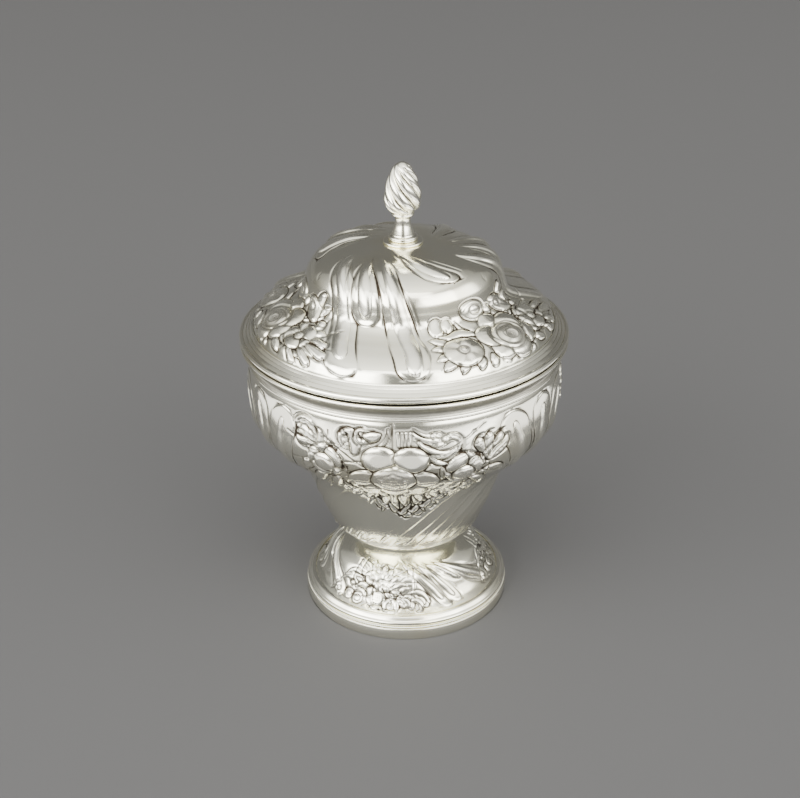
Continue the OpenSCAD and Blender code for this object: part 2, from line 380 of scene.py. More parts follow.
def bud(k, th, s, ang, L, W, H=0.9):
    k.petal(th, s, ang, L, W, H=H, tip=0.66, vein=0.18)
    c, q = math.cos(rad(ang)), math.sin(rad(ang))
    k.groove([k.at(th, s, c * L * 0.35 - q * W * 0.5, q * L * 0.35 + c * W * 0.5),
              k.at(th, s, c * L * 0.85 - q * W * 0.3, q * L * 0.85 + c * W * 0.3)], 0.15, 0.2, sub=1, dark=0.5)


# ------------------------------------------------------------------ bowl
bowl = Skin(raised=0.78, cut=1.0, ink=1.32, ctrl=[[53, 98.2], [53.7, 97], [54.4, 95], [54.8, 91], [54.8, 85.5], [54.1, 78.2], [50.8, 72.3],
             [46.3, 67.2], [41.6, 63.2], [38.2, 59.6], [35.8, 55.4], [34, 50.4], [32.3, 44.9], [30.6, 40.2],
             [29, 36.4], [27.2, 32.8], [25.2, 30.2]], nsec=288, ds=0.28)


def helix(s):
    """How far the lower flutes have turned at s, in degrees."""
    return -1.45 * np.clip(s - 46, 0, None) - 0.9 * np.clip(s - 34, 0, 12) - 0.25 * np.clip(s - 20, 0, 14)


def bowl_flutes(k):
    S, T = k.S[:, None], k.th[None, :]
    R = k.R[:, None]
    # the flutes fade under the flowers and keep their full depth between them
    d = (T - 57 - helix(S) * 0.55 + 60) % 120 - 60
    side = 1 - sstep(np.abs(d), 25, 47)
    u = ((T - helix(S) - 4.0) / 20.0) % 1.0
    x = 2 * u - 1
    k.h += 0.34 * sstep(S, 30, 48) * (1 - 0.9 * sstep(S, 53, 68)) * (0.08 + 0.92 * side) * (0.5 - np.abs(x) ** 2.0)
    # two narrow reeds to each flute
    for c, H, w in ((0.62, 0.33, 0.5), (-0.30, 0.25, 0.45)):
        v = (x - c) * 10.0 * rad(1.0) * R
        k.h += H * np.exp(-(v / w) ** 2) * sstep(S, 33, 46) * (1 - sstep(S, 58, 70)) * (0.06 + 0.94 * side)


def bowl_edge(k):
    """Short slanting reeds and scallops round the bottom edge."""
    S, T = k.S[:, None], k.th[None, :]
    R = k.R[:, None]
    ph = ((T + 1.45 * (S - 70) + 2.0) / 10.0) % 1.0
    v = (ph - 0.5) * 10.0 * rad(1.0) * R
    k.h += 0.075 * np.exp(-(v / 0.32) ** 2) * sstep(S, 66.5, 71.5) * (1 - sstep(S, 73.0, 75.0))
    q = np.abs(((T / 10.0) % 1.0) - 0.5) * 2
    k.h += sstep(S, 73.0, 75.0) * (0.09 * (1 - q ** 2.0) - 0.03) * (1 - 0.5 * sstep(S, 76.6, 77.6))
    g = np.exp(-((1 - q) / 0.10) ** 2) * sstep(S, 73.0, 75.0)
    # tarnish in the notches between the scallops, and painted shade over the whole turned-under bottom edge from s 71
    # down
    k.patina_and_shade_map = np.maximum(k.patina_and_shade_map, np.maximum(0.4 * g, 0.42 * sstep(S, 71.0, 74.0)))
    for i in range(13):
        t0 = i * 9.2307
        L = 5.2 + 1.4 * math.sin(i * 2.4)
        k.stroke([(t0 - 3.0, 74.4), (t0 + 1.2, 74.4 - L * 0.55), (t0 + 5.0, 74.4 - L)], [0.42, 0.34, 0.12], 0.26, line=0.0)
        k.groove([(t0 - 1.6, 74.6), (t0 + 2.6, 74.6 - L * 0.55), (t0 + 6.2, 74.4 - L)], 0.16, 0.24, dark=0.6)


def bowl_lobes(k):
    up = dict(power=1.0)
    # middle lobe between two sprays
    k.lobe([(3.3, 57), (9, 57), (16, 57.5), (26, 57), (36, 55)], [(3.3, 5.4), (9, 5.9), (16, 5.2), (26, 3.4), (36, 1.2)],
           H=0.24, ends=(5.6, 0), rib=(7.0, 31, 2.4, 0.32), fade_end=10, tips=1, **up)
    # the two that lean away from the spray
    k.lobe([(3.3, 73.2), (8, 72.6), (14, 71.0), (20, 70.0), (30, 67.5), (38, 65)],
           [(3.3, 5.8), (8, 6.4), (14, 6.6), (20, 5.8), (30, 3.6), (38, 1.4)], H=0.24, ends=(5.8, 0), rib=(7.2, 31, 2.4, 0.32), fade_end=10, tips=1, **up)
    k.lobe([(3.5, 39.4), (7, 40.3), (12, 42.0), (18, 44.5), (28, 47), (38, 47)],
           [(3.5, 5.6), (7, 5.9), (12, 6.2), (18, 5.6), (28, 3.6), (38, 1.4)], H=0.24, ends=(5.6, 0), rib=(7.4, 31, 2.4, 0.32), fade_end=10, tips=1, **up)


def bowl_spray(k):
    c = -5.0
    # fringe of leaves and curls that runs into the waist
    for i, (a, s0, s1, lean, w) in enumerate([
            (-29, 27, 40, 5, 1.7), (-24, 30, 46, 6, 1.9), (-18, 31, 51, 5, 2.1), (-12, 33, 54, 4, 2.2),
            (-5, 33, 56, -3, 2.2), (2, 33, 55.5, -5, 2.1), (8, 32, 54, -6, 2.1), (14, 30, 51, -6, 2.0),
            (20, 29, 47, -6, 1.8), (26, 27, 42, -5, 1.6)]):
        leaf(k, [(a, s0), (a + lean * 0.35, s0 + (s1 - s0) * 0.35), (a + lean * 0.4, s0 + (s1 - s0) * 0.7),
                 (a - lean * 0.45, s1)], w * 0.8, H=0.62, ribs=2, line=0.32)
    for a, s, d in ((-25, 41, 1), (-19.5, 45.5, 1), (-13.5, 50.5, 1), (-7, 53.5, 1), (0, 54.0, -1), (6, 53, -1), (12, 50.5, -1),
                    (17.5, 46.5, -1), (22.5, 42, -1), (27, 37.5, -1)):
        k.stroke([(a - d * 2.2, s - 4.5), (a + d * 0.2, s - 1.2), (a + d * 2.6, s + 0.6), (a + d * 5.0, s - 0.4)], [0.4, 1.1, 0.8, 0.25], 0.6,
                 line=0.4, lw=0.34)
    for a, s, L in ((-16, 38, 7), (-9.5, 41, 8), (-2, 41, 8), (5.2, 40, 7), (11.4, 38, 7), (-22, 36, 6), (17.5, 35, 6)):
        k.petal(a, s, 90 + (a + 5) * -1.4, L, 1.7, H=0.9, tip=0.45, vein=0.3)
    # side scrolls and sprays of the left
    scroll(k, [(-39.2, 8.4), (-40.3, 6.3), (-38.6, 4.6), (-36.2, 4.3), (-33.8, 5.2), (-32.5, 7.4), (-32.2, 11.5)], 1.15, 0.75, 1.0)
    k.stroke([(-39.6, 10.2), (-37.2, 9.2), (-34.8, 10.8), (-33.3, 14.0), (-32.8, 17)], [0.7, 1.9, 2.2, 1.6, 0.4], 0.75, vein=0.2)
    k.stroke([(-30.8, 7.0), (-29.9, 8.6), (-30.4, 11.6), (-31.4, 14)], [0.3, 1.0, 1.2, 0.4], 0.7)
    leaf(k, [(-31.5, 15), (-35, 13.6), (-38.6, 13.4), (-40.2, 11.6)], 2.0, ribs=2)
    leaf(k, [(-32, 22), (-35.5, 21.5), (-38, 23.5), (-39.5, 26)], 2.2, ribs=2)
    leaf(k, [(-30, 25), (-33, 27), (-35.5, 30.5), (-36, 34)], 2.0, ribs=2)
    leaf(k, [(-25, 26), (-27, 29), (-29, 33), (-31, 37)], 1.9, ribs=2)
    # right
    scroll(k, [(9.4, 6.5), (6.8, 6.3), (4.6, 5.2), (2.6, 3.6)], 0.9, 0.65, 0.95)
    scroll(k, [(11.2, 6.5), (12.9, 7.3), (12.4, 9.3), (9.8, 10.0), (6.8, 8.8), (3.8, 7.4)], 1.0, 0.7, 0.9)
    k.stroke([(4.5, 8.4), (7.5, 11.6), (11.5, 13.6), (15.5, 13.2), (18.2, 11.4)], [0.6, 1.5, 1.7, 1.3, 0.5], 0.75, vein=0.2)
    scroll(k, [(13.4, 8.0), (15.4, 7.3), (17.6, 8.2), (18.6, 10.4), (17.6, 13.0), (14.5, 15.5), (10.5, 16.5)], 1.25, 0.8, 1.15)
    k.stroke([(7.5, 13.4), (11, 16.4), (14.5, 17.2)], [0.5, 1.1, 0.4], 0.6)
    k.groove([(23.0, 7.2), (23.6, 6.4), (24.7, 6.7), (24.6, 7.8)], 0.25, 0.26)
    # fan of four petals above the right flower, with its cupped leaf
    for p0, p1, w in (((29.2, 18), (25.6, 9.9), 1.9), ((30.5, 17.5), (29.6, 9.1), 2.0), ((31.8, 17.5), (33.8, 9.9), 1.9)):
        k.stroke([p0, ((p0[0] + p1[0]) / 2, (p0[1] + p1[1]) / 2), (p1[0], p1[1] + 1.6)], [0.8, w, w], 0.85, vein=0.15)
    leaf(k, [(30.0, 18.2), (33, 16.2), (36, 14.4), (37.2, 11.4)], 2.2, ribs=3)
    leaf(k, [(28, 24), (32, 23.5), (36, 25), (38.5, 28)], 2.1, ribs=2)
    leaf(k, [(25, 27), (28.5, 29), (31, 32.5), (32, 36)], 2.0, ribs=2)
    k.stroke([(22.8, 16.6), (25.6, 17.0), (27.6, 19.5)], [1.4, 1.7, 1.0], 0.7)
    # upper middle scrolls and reeds
    scroll(k, [(-21.3, 6.2), (-22.9, 7.6), (-22.6, 9.6), (-21.0, 11.6), (-18.2, 12.0)], 1.2, 0.75, 1.0)
    k.stroke([(-20.8, 5.2), (-18.6, 5.7), (-17.2, 8.6), (-17.4, 12.6)], [0.5, 1.5, 2.1, 1.5], 0.8, vein=0.2)
    scroll(k, [(-12.0, 8.2), (-14.4, 9.0), (-16.4, 8.0), (-17.0, 6.0), (-15.6, 4.6), (-13.2, 5.0), (-10.8, 4.7)], 1.15, 0.75, 1.0)
    k.stroke([(-13.6, 6.6), (-11, 6.8), (-8.6, 5.6)], [0.9, 1.9, 0.5], 0.65)
    k.stroke([(-5.7, 3.8), (-5.9, 6.2), (-7.4, 8.8), (-9.2, 9.8)], [0.35, 0.6, 0.75, 0.4], 0.55)
    for a in (-2.6, -1.2, 0.2, 1.6):
        k.stroke([(a, 4.9), (a * 0.75 - 0.2, 9.6)], [0.45, 0.62], 0.6, line=0.34, lw=0.24, sub=1)
    # small flowers at each side
    flower(k, -29.0, 18.4, 6.4, 5, -100, 0.95, boss=0.0)
    k.blob(-29.0, 19.0, 4.0, 3.5, rot=25, H=1.15, base=0.35, line=0.34, p=2.4)
    for a in range(6):
        p = k.at(-29.0, 19.6, 0.6 * math.cos(a * 1.05), 0.6 * math.sin(a * 1.05))
        k.groove([p, k.at(-29.0, 19.6, 1.5 * math.cos(a * 1.05), 1.5 * math.sin(a * 1.05))], 0.4, 0.24, sub=1)
    flower(k, 20.4, 20.6, 6.6, 6, -70, 0.95, boss=0.0)
    k.blob(20.4, 22.2, 3.9, 3.3, rot=-10, H=1.1, base=0.35, line=0.34, p=2.4)
    for a, b in ((-1.2, -0.6), (1.2, -0.6), (0, 0.9)):
        k.groove([k.at(20.4, 22.2, a - 0.5, b), k.at(20.4, 22.2, a, b - 0.6), k.at(20.4, 22.2, a + 0.6, b + 0.1)], 0.35, 0.24)
    # the large flower: two broad upper petals, two side ones, two below, a domed centre
    c = -4.4
    k.petal(c + 0.6, 24.0, 178, 15.5, 5.0, H=0.95, vein=0.0)
    k.petal(c - 0.6, 24.0, 2, 15.5, 5.0, H=0.95, vein=0.0)
    k.petal(c, 25.0, 124, 13.5, 6.0, H=0.9, vein=0.0)
    k.petal(c, 25.0, 56, 13.5, 6.0, H=0.9, vein=0.0)
    k.petal(c, 25.0, 90, 12.5, 4.6, H=0.9, vein=0.0)
    for sg in (-1, 1):
        k.blob(c + 0.8 + sg * 5.5, 14.9, 5.9, 4.9, rot=sg * 14, H=1.35, p=2.4, line=0.42, base=0.1)
    k.blob(c, 24.0, 7.5, 6.8, H=1.5, p=2.3, line=0.45, base=0.15)
    # the chased rosette on the domed centre
    for i in range(5):
        a = rad(-90 + 72 * i)
        q = [k.at(c, 24.0, 1.1 * math.cos(a + o) + 3.6 * math.cos(a) * f, (1.1 * math.sin(a + o) + 3.4 * math.sin(a) * f) * 0.9)
             for o, f in ((-1.9, 0.25), (-1.35, 0.75), (-0.5, 1.08), (0.5, 1.08), (1.35, 0.75), (1.9, 0.25))]
        k.groove(q, 0.42, 0.3, dark=0.9)
        q = [k.at(c, 24.0, 4.4 * math.cos(a + 0.63 + o), 3.8 * math.sin(a + 0.63 + o)) for o in (-0.4, -0.15, 0.15, 0.4)]
        k.groove(q, 0.34, 0.3, dark=0.8)
    k.blob(c, 24.0, 1.2, 1.1, H=0.35, base=1.3, line=0.3, lw=0.24, dark=0.6)
    # the deepest cuts: tapering crescents on the upper sides of the curls
    for P in ([(-22.8, 10.8), (-23.4, 7.6), (-22.2, 5.0), (-19.8, 4.2)], [(-17.6, 8.2), (-17.6, 5.8), (-16.0, 4.0), (-14.0, 3.6)],
              [(-15.2, 7.6), (-14.2, 9.2), (-12.0, 9.4)], [(-6.2, 4.0), (-5.9, 6.6), (-7.0, 9.0)], [(2.0, 4.2), (5.0, 6.2), (8.4, 7.4)],
              [(3.2, 7.2), (6.8, 9.4), (10.2, 9.8)], [(4.6, 10.2), (8.4, 12.8), (12.4, 13.2)], [(9.6, 5.2), (12.2, 6.0), (12.8, 8.2), (11.4, 9.8)],
              [(14.4, 6.6), (17.4, 6.6), (19.6, 9.0), (19.2, 12.0), (17.0, 14.2)], [(-41.4, 6.8), (-40.0, 4.4), (-37.0, 3.4), (-34.2, 4.0)],
              [(-33.0, 5.6), (-31.6, 8.4), (-31.8, 11.8)], [(-41.2, 12.4), (-40.6, 9.9), (-38.4, 8.8), (-35.8, 9.4)],
              [(-40.4, 13.6), (-37.6, 14.6), (-34.2, 14.0)], [(24.0, 11.4), (25.0, 9.0), (27.2, 8.4)], [(28.4, 10.4), (29.2, 8.2), (31.2, 8.0)],
              [(32.6, 10.8), (33.8, 8.9), (35.8, 9.4)], [(-4.0, 55.0), (-0.5, 57.2), (3.8, 56.2)], [(4.5, 55.6), (7.8, 56.2), (10.4, 53.6)],
              [(11.5, 52.4), (14.6, 52.4), (16.6, 49.6)], [(-13.0, 53.2), (-16.0, 52.2), (-17.6, 49.2)], [(18.0, 48.0), (21.0, 47.4), (22.6, 44.4)]):
        k.groove(P, 0.5, 0.44)


bowl_flutes(bowl)
bowl_edge(bowl)
bowl_lobes(bowl)
bowl_spray(bowl)

# ------------------------------------------------------------------ lid
lid = Skin(raised=0.74, cut=0.95, ink=1.12, ctrl=[[7.2, 137.3], [12.5, 137], [19, 136.4], [25.5, 134.8], [30, 132.3], [32.6, 128.8], [33.75, 125],
            [34.6, 122.0], [36.4, 119.95], [39.2, 118.5], [42.8, 117.2], [47, 115.4], [50.2, 113], [51.8, 110]], nsec=280, ds=0.27)


def lid_lobes(k):
    up = dict(power=1.0)
    # A: the long lobe at the left, bulged at the crown and at its foot
    k.lobe([(9, -62), (16, -54.5), (26, -38.5), (34, -34.8), (41, -30.8), (48, -26.8), (53, -24.2), (57, -22.8)],
           [(9, 0.5), (16, 2.2), (26, 4.7), (34, 4.7), (41, 4.8), (48, 5.2), (53, 5.5), (57, 4.8)], H=0.34, ends=(0, 3.6), fade=15,
           rib=(12, 51, 2.6, 0.6), tips=1, **up)
    # B: the short lobe that ends on the shelf
    k.lobe([(8, -40), (14, -33), (22, -26), (29, -22.3), (36.6, -20.8)], [(8, 0.4), (14, 2.2), (22, 4.0), (29, 4.8), (36.6, 4.8)],
           H=0.34, ends=(0, 4.2), fade=15, rib=(11, 33.8, 2.3, 0.6), tips=1, **up)
    # C: the longest, from the crown to the lower edge
    k.lobe([(3, -42), (10, -26), (16, -15.5), (24, -8.0), (32, -4.0), (40, -0.5), (48, 2.6), (57, 3.0)],
           [(3, 0.5), (10, 2.4), (16, 3.4), (24, 3.5), (32, 4.3), (40, 5.0), (48, 5.9), (57, 5.0)], H=0.36, ends=(0, 4.6), fade=20,
           rib=(9, 55, 2.7, 0.75, 0.7), tips=1, **up)
    # D: short, over the flowers, ending in a round tip on the shoulder
    k.lobe([(1.0, -22), (7, 3), (13, 14.5), (19, 25), (23.4, 33)], [(1, 0.4), (7, 2.0), (13, 3.2), (19, 4.1), (23.4, 4.2)],
           H=0.34, ends=(0, 3.8), fade=13, rib=(5, 21.6, 2.2, 0.55), tips=1, **up)
    # fine flowing lines beside them
    k.groove([(-20, 10), (-12, 14.5), (-4, 20), (2, 26), (6, 32.5), (9.6, 41), (12, 49)], 0.16, 0.26, dark=0.5)
    k.groove([(22, 8.0), (30, 11.5), (38, 16), (44, 20)], 0.12, 0.26, dark=0.35)
    k.groove([(-52, 14), (-44, 19), (-38, 24), (-34, 30)], 0.16, 0.26, dark=0.45)


def rose(k, th, s, R, sq=0.9):
    """A full rose: a ring of overlapping outer petals round coiled inner ones."""
    for i in (0, 2, 4, 1, 3, 5):
        a = -100 + 60 * i
        c, q = math.cos(rad(a)), math.sin(rad(a)) * sq
        p = k.at(th, s, c * R * 0.56, q * R * 0.56)
        k.blob(p[0], p[1], R * 0.47, R * 0.43, rot=a, H=1.0, p=2.2, line=0.36, base=0.05, dish=0.12)
        for da in (-10, 4, 16):
            e, g = math.cos(rad(a + da)), math.sin(rad(a + da)) * sq
            k.groove([k.at(th, s, e * R * 0.72, g * R * 0.72), k.at(th, s, e * R * 0.92, g * R * 0.92)], 0.12, 0.2, sub=1, dark=0.3)
    k.blob(th, s + 0.02 * R, R * 0.62, R * 0.6 * sq, H=0.75, p=3, base=0.55, line=0.4, dish=0.0)
    # a hollow round the heart, open at its lower right
    arc_ = [(-200, 0.50), (-165, 0.52), (-130, 0.53), (-95, 0.53), (-60, 0.52), (-25, 0.50), (5, 0.46)]
    k.groove([k.at(th, s, R * f * math.cos(rad(a)), R * f * sq * math.sin(rad(a))) for a, f in arc_], 0.75, 0.5, dark=0.55)
    k.blob(k.at(th, s, R * 0.04, R * 0.06)[0], s + R * 0.06, R * 0.44, R * 0.42 * sq, H=0.8, p=2.6, base=0.6, line=0.35)
    for f, a0, a1 in ((0.35, -215, -20), (0.30, 0, 150), (0.24, -190, 10), (0.2, 30, 200), (0.36, 20, 140)):
        k.groove([k.at(th, s, R * 0.04 + R * f * math.cos(rad(a)), R * 0.07 + R * f * sq * math.sin(rad(a)))
                  for a in np.linspace(a0, a1, 7)], 0.3, 0.26, dark=0.55)
    q = k.at(th, s, R * 0.05, R * 0.09)
    k.blob(q[0], q[1], R * 0.13, R * 0.11, H=0.3, base=0.95, line=0.4, lw=0.3)
    k.blob(q[0], q[1], R * 0.05, R * 0.05, H=-0.2, base=0.9, line=0.25, lw=0.25)


def lid_spray(k):
    # fringe along the lower edge
    for a, s0, a1, s1, w in ((22, 47, 12.5, 50.5, 1.7), (21, 45, 11.5, 45.8, 1.6), (20, 43.5, 11.3, 41.6, 1.5), (20, 50, 14.5, 54.2, 1.8),
                             (24, 51, 21, 56.0, 1.7), (30, 51, 28.6, 56.0, 1.8), (35, 52, 34.6, 56.3, 1.7), (40, 53, 41.5, 56.3, 1.6),
                             (60, 52, 66, 55.6, 1.8), (61, 49, 70, 52.0, 1.8),
                             (47, 55, 49, 56.4, 1.2), (54, 54, 57, 56.4, 1.5)):
        leaf(k, [(a, s0), ((a * 2 + a1) / 3, (s0 * 2 + s1) / 3 + 0.3), ((a + 2 * a1) / 3, (s0 + 2 * s1) / 3), (a1, s1)], w, H=0.75, ribs=2)
    # leaves of the far side of the spray, up over the waist
    for a, s0, a1, s1, w in ((63, 41, 73, 37.0, 1.7), (64, 44, 77, 41.0, 1.9), (68, 38, 76, 33.5, 1.4), (66, 50, 78, 54.6, 1.8),
                             (74, 50, 84, 52.5, 1.6), (74, 47, 85.5, 47.2, 1.7), (73, 45, 82, 43.0, 1.5)):
        leaf(k, [(a, s0), ((a * 2 + a1) / 3, (s0 * 2 + s1) / 3 - 0.6), ((a + 2 * a1) / 3, (s0 + 2 * s1) / 3 - 0.4), (a1, s1)], w, H=0.85, ribs=2)
    for a, s0, a1, s1, w in ((76, 46.5, 84.5, 47.6, 1.7), (76, 49, 86.5, 51.4, 1.8), (74, 51, 81.5, 55.2, 1.7), (69.5, 52, 74.5, 56.2, 1.6)):
        k.stroke([(a, s0), ((a + a1) / 2, (s0 + s1) / 2 - 0.3), (a1, s1)], [0.5, w * 0.8, w], 0.9, line=0.36)
    flower(k, 70.5, 47.2, 6.0, 5, -120, 0.95, boss=0.3, sq=0.9)
    k.stroke([(62, 40.5), (63.5, 36.6), (66.5, 32.6), (68.8, 30.6)], [0.6, 1.5, 1.9, 1.4], 0.85, line=0.38)
    k.blob(74.5, 39.5, 1.7, 1.3, H=0.6, line=0.3)
    # two round lobes and the flat stem at its left end
    k.stroke([(28, 36.7), (29.5, 38.8), (32, 40.8), (35, 43)], [0.5, 0.8, 1.1, 0.8], 0.6)
    k.blob(k.at(16.4, 37.4, 0, 0)[0], 37.3, 2.6, 3.3, rot=10, H=0.9, line=0.36)
    k.blob(k.at(22.6, 37.6, 0, 0)[0], 37.0, 2.1, 2.5, rot=0, H=0.85, line=0.36)
    k.stroke([(17, 40.6), (21.5, 41.3), (26.5, 40.2), (31, 41.2), (36, 42.5)], [0.5, 1.2, 1.5, 1.3, 0.6], 0.6, vein=0.18)
    k.groove([(26.0, 36.0), (27.2, 37.6), (27.0, 39.2)], 0.3, 0.3)
    k.groove([(27.6, 36.0), (28.9, 37.4), (31.5, 39.6), (36.5, 41.4)], 0.4, 0.3)
    # upper leaves: an egg-shaped one with rings, and a long one
    k.blob(40.5, 34.0, 5.4, 3.5, rot=8, H=1.0, line=0.42, p=2.4)
    k.blob(41.6, 33.8, 2.3, 1.6, rot=8, H=0.45, base=0.75, line=0.32)
    k.groove([k.at(40.5, 34.0, x, y) for x, y in ((-4.0, -0.4), (-2.0, -2.1), (1.0, -2.4), (3.6, -1.0))], 0.22, 0.24, dark=0.5)
    k.blob(51.5, 35.6, 1.7, 1.7, H=0.6, line=0.3)
    leaf(k, [(68, 39), (64, 36.6), (59.5, 34.6), (55.6, 33.2)], 3.1, H=1.0, ribs=3, line=0.42)
    k.blob(60.6, 35.2, 1.6, 1.1, rot=30, H=0.35, base=0.8, line=0.3)
    k.groove([(57, 24.5), (56.4, 25.6), (57.4, 26.6), (58.4, 25.4)], 0.16, 0.24, dark=0.35)
    rose(k, 48.6, 46.9, 11.4, 0.84)
    k.blob(24.5, 48.0, 6.9, 5.9, H=1.0, p=2.6, line=0.4, ribs=6, rib=0.16)
    for i in range(22):
        a = 2 * math.pi * (i + 0.3) / 22
        c, q = math.cos(a), math.sin(a) * 0.86
        k.groove([k.at(24.5, 48.0, c * 2.4, q * 2.4), k.at(24.5, 48.0, c * (4.6 + 0.8 * (i % 2)), q * (4.6 + 0.8 * (i % 2)))], 0.16, 0.2, sub=1,
                 dark=0.55 if -0.9 < a - 6.28 or a < 1.2 else 0.3)
    k.blob(24.5, 47.8, 1.8, 1.6, H=0.4, base=0.85, line=0.42)
    k.blob(24.5, 47.8, 0.95, 0.85, H=0.3, base=1.1, line=0.3, lw=0.22)


lid_lobes(lid)
lid_spray(lid)

# ------------------------------------------------------------------ foot
foot = Skin(raised=0.33, cut=0.7, ink=0.85, ctrl=[[16, 28.2], [16.2, 26.2], [17.1, 24.3], [18.9, 22.8], [21.2, 21.7], [23.8, 20.5], [26.2, 18.7],
             [28.1, 15.9], [29.7, 12.6], [31.6, 9.8], [34, 8.2]], nsec=224, ds=0.25)


def foot_lobes(k):
    up = dict(power=1.0)
    for C, W, rib in (
            ([(7, -8), (12, 4), (17, 14.5), (22, 22), (27.4, 27.5)], [(7, 0.4), (12, 1.3), (17, 1.9), (22, 2.4), (27.4, 2.5)], (12, 24.5, 1.1, 0.3)),
            ([(8, 8), (12, 16), (17, 24), (22, 31.0), (26.6, 36)], [(8, 0.4), (12, 1.3), (17, 2.0), (22, 2.6), (26.6, 2.6)], (12, 24.5, 1.1, 0.3)),
            ([(9.5, 18), (12.5, 28), (16, 36), (19.6, 43)], [(9.5, 0.4), (12.5, 1.1), (16, 1.6), (19.6, 1.3)], (11, 18.5, 0.9, 0.35)),
            ([(9, 24), (13, 36), (18, 50), (23, 63), (26.6, 69)], [(9, 0.4), (13, 1.5), (18, 2.5), (23, 3.1), (26.6, 2.9)], (11, 25, 1.4, 0.45))):
        k.lobe(C, W, H=0.26, ends=(0, 2.3), fade=5, rib=rib, dark=0.55, **up)
    k.groove([(6, 9), (14, 12.5), (28, 15.5), (44, 18.5), (58, 23)], 0.14, 0.24, dark=0.4)
    k.groove([(-2, 11), (6, 15), (13, 20), (18, 25)], 0.14, 0.24, dark=0.4)


def foot_spray(k):
    # curls at both ends
    scroll(k, [(-43, 20.6), (-46.5, 19.0), (-51, 20.0), (-55.5, 23.0), (-58, 26.2)], 1.1, 0.6, 0.9)
    k.stroke([(-36, 16.5), (-41, 15.6), (-47, 16.6), (-51.5, 19.4)], [0.4, 1.0, 0.9, 0.3], 0.5, vein=0.16)
    for a, s, r in ((2.4, 24.6, 1.0), (7.6, 26.0, 0.9), (12.6, 24.2, 1.0)):
        k.stroke([(a - 4.5, s - 2.8), (a - 1.2, s - 2.9), (a + 1.8, s - 1.4), (a + 1.4, s + 0.9), (a - 0.8, s + 1.2)], [0.3, 0.8, 0.9, 0.7, 0.4], 0.6, lw=0.34)
        k.groove([k.at(a, s, r * 1.5 * math.cos(rad(q)), r * 1.5 * math.sin(rad(q))) for q in range(-100, 100, 33)], 0.4, 0.32)
    k.stroke([(1.0, 20.6), (6, 20.2), (11.5, 21.2), (15.6, 24.4)], [0.3, 0.8, 0.9, 0.3], 0.5)
    for a, s, r in ((-52.0, 25.0, 0.8), (-48.5, 26.6, 0.6)):
        k.blob(a, s, r, r, H=0.55, line=0.3, lw=0.24)
    # small leaves between the flowers, running right
    for a0, s0, a1, s1, w in ((-12, 17.0, -5.5, 14.8, 0.95), (-9, 18.6, -1.0, 17.4, 1.0), (-6, 20.6, 1.6, 18.6, 0.9), (-11, 20.4, -3.4, 21.8, 1.0),
                              (-8, 23.0, -1.6, 25.6, 0.95), (-31, 18.2, -37.5, 15.4, 1.0), (-33, 20.2, -40.5, 18.2, 1.0), (-27, 14.0, -31.0, 11.4, 0.9)):
        k.stroke([(a0, s0), ((a0 + a1) / 2, (s0 + s1) / 2 - 0.5), (a1, s1)], [0.35, w, 0.3], 0.6, line=0.32, vein=0.14)
    # palmette of five leaves at the top
    for q, L in ((-150, 4.2), (-30, 4.2), (-120, 5.4), (-60, 5.4), (-90, 6.0)):
        k.petal(-18.6, 16.6, q, L, 1.25, H=0.75, tip=0.66, vein=0.25, line=0.36)
    # ringed buds at the left
    for a, s, r in ((-42.6, 24.6, 1.9), (-35.0, 24.9, 2.2)):
        k.blob(a, s, r, r * 0.95, H=0.75, line=0.4)
        k.blob(a, s, r * 0.55, r * 0.5, H=0.3, base=0.4, line=0.32)
        k.groove([k.at(a, s, (r + 0.5) * math.cos(rad(q)), (r + 0.5) * math.sin(rad(q))) for q in range(110, 290, 30)], 0.35, 0.3)
    k.stroke([(-39, 21.4), (-34, 19.8), (-29.5, 20.6), (-27, 22.4)], [0.4, 1.1, 1.2, 0.5], 0.55, vein=0.16)
    # the large flower with its cross-cut centre, and a plainer one beside it
    for q in (-150, -100, -50, 0, 50, 100, 150, 200):
        k.petal(-20.4, 22.6, q, 4.9, 1.9, H=0.7, tip=0.66, vein=0.2, line=0.34)
    k.blob(-20.4, 23.2, 2.7, 2.3, H=0.85, p=2.2, base=0.25, line=0.4)
    for i in range(-2, 3):
        k.groove([k.at(-20.4, 23.2, i * 0.85, -1.7), k.at(-20.4, 23.2, i * 0.95, 0), k.at(-20.4, 23.2, i * 0.85, 1.7)], 0.3, 0.22, dark=0.7)
    for i in (-1, 0, 1):
        k.groove([k.at(-20.4, 23.2, -2.1, i * 0.95), k.at(-20.4, 23.2, 0, i * 1.05), k.at(-20.4, 23.2, 2.1, i * 0.95)], 0.25, 0.22, dark=0.6)
    flower(k, -27.4, 16.4, 2.8, 5, -90, 0.7, boss=0.34, bossH=0.5, veins=False)
    flower(k, -10.8, 25.6, 3.0, 6, -90, 0.75, boss=0.4, bossH=0.6, veins=False)


foot_lobes(foot)
foot_spray(foot)


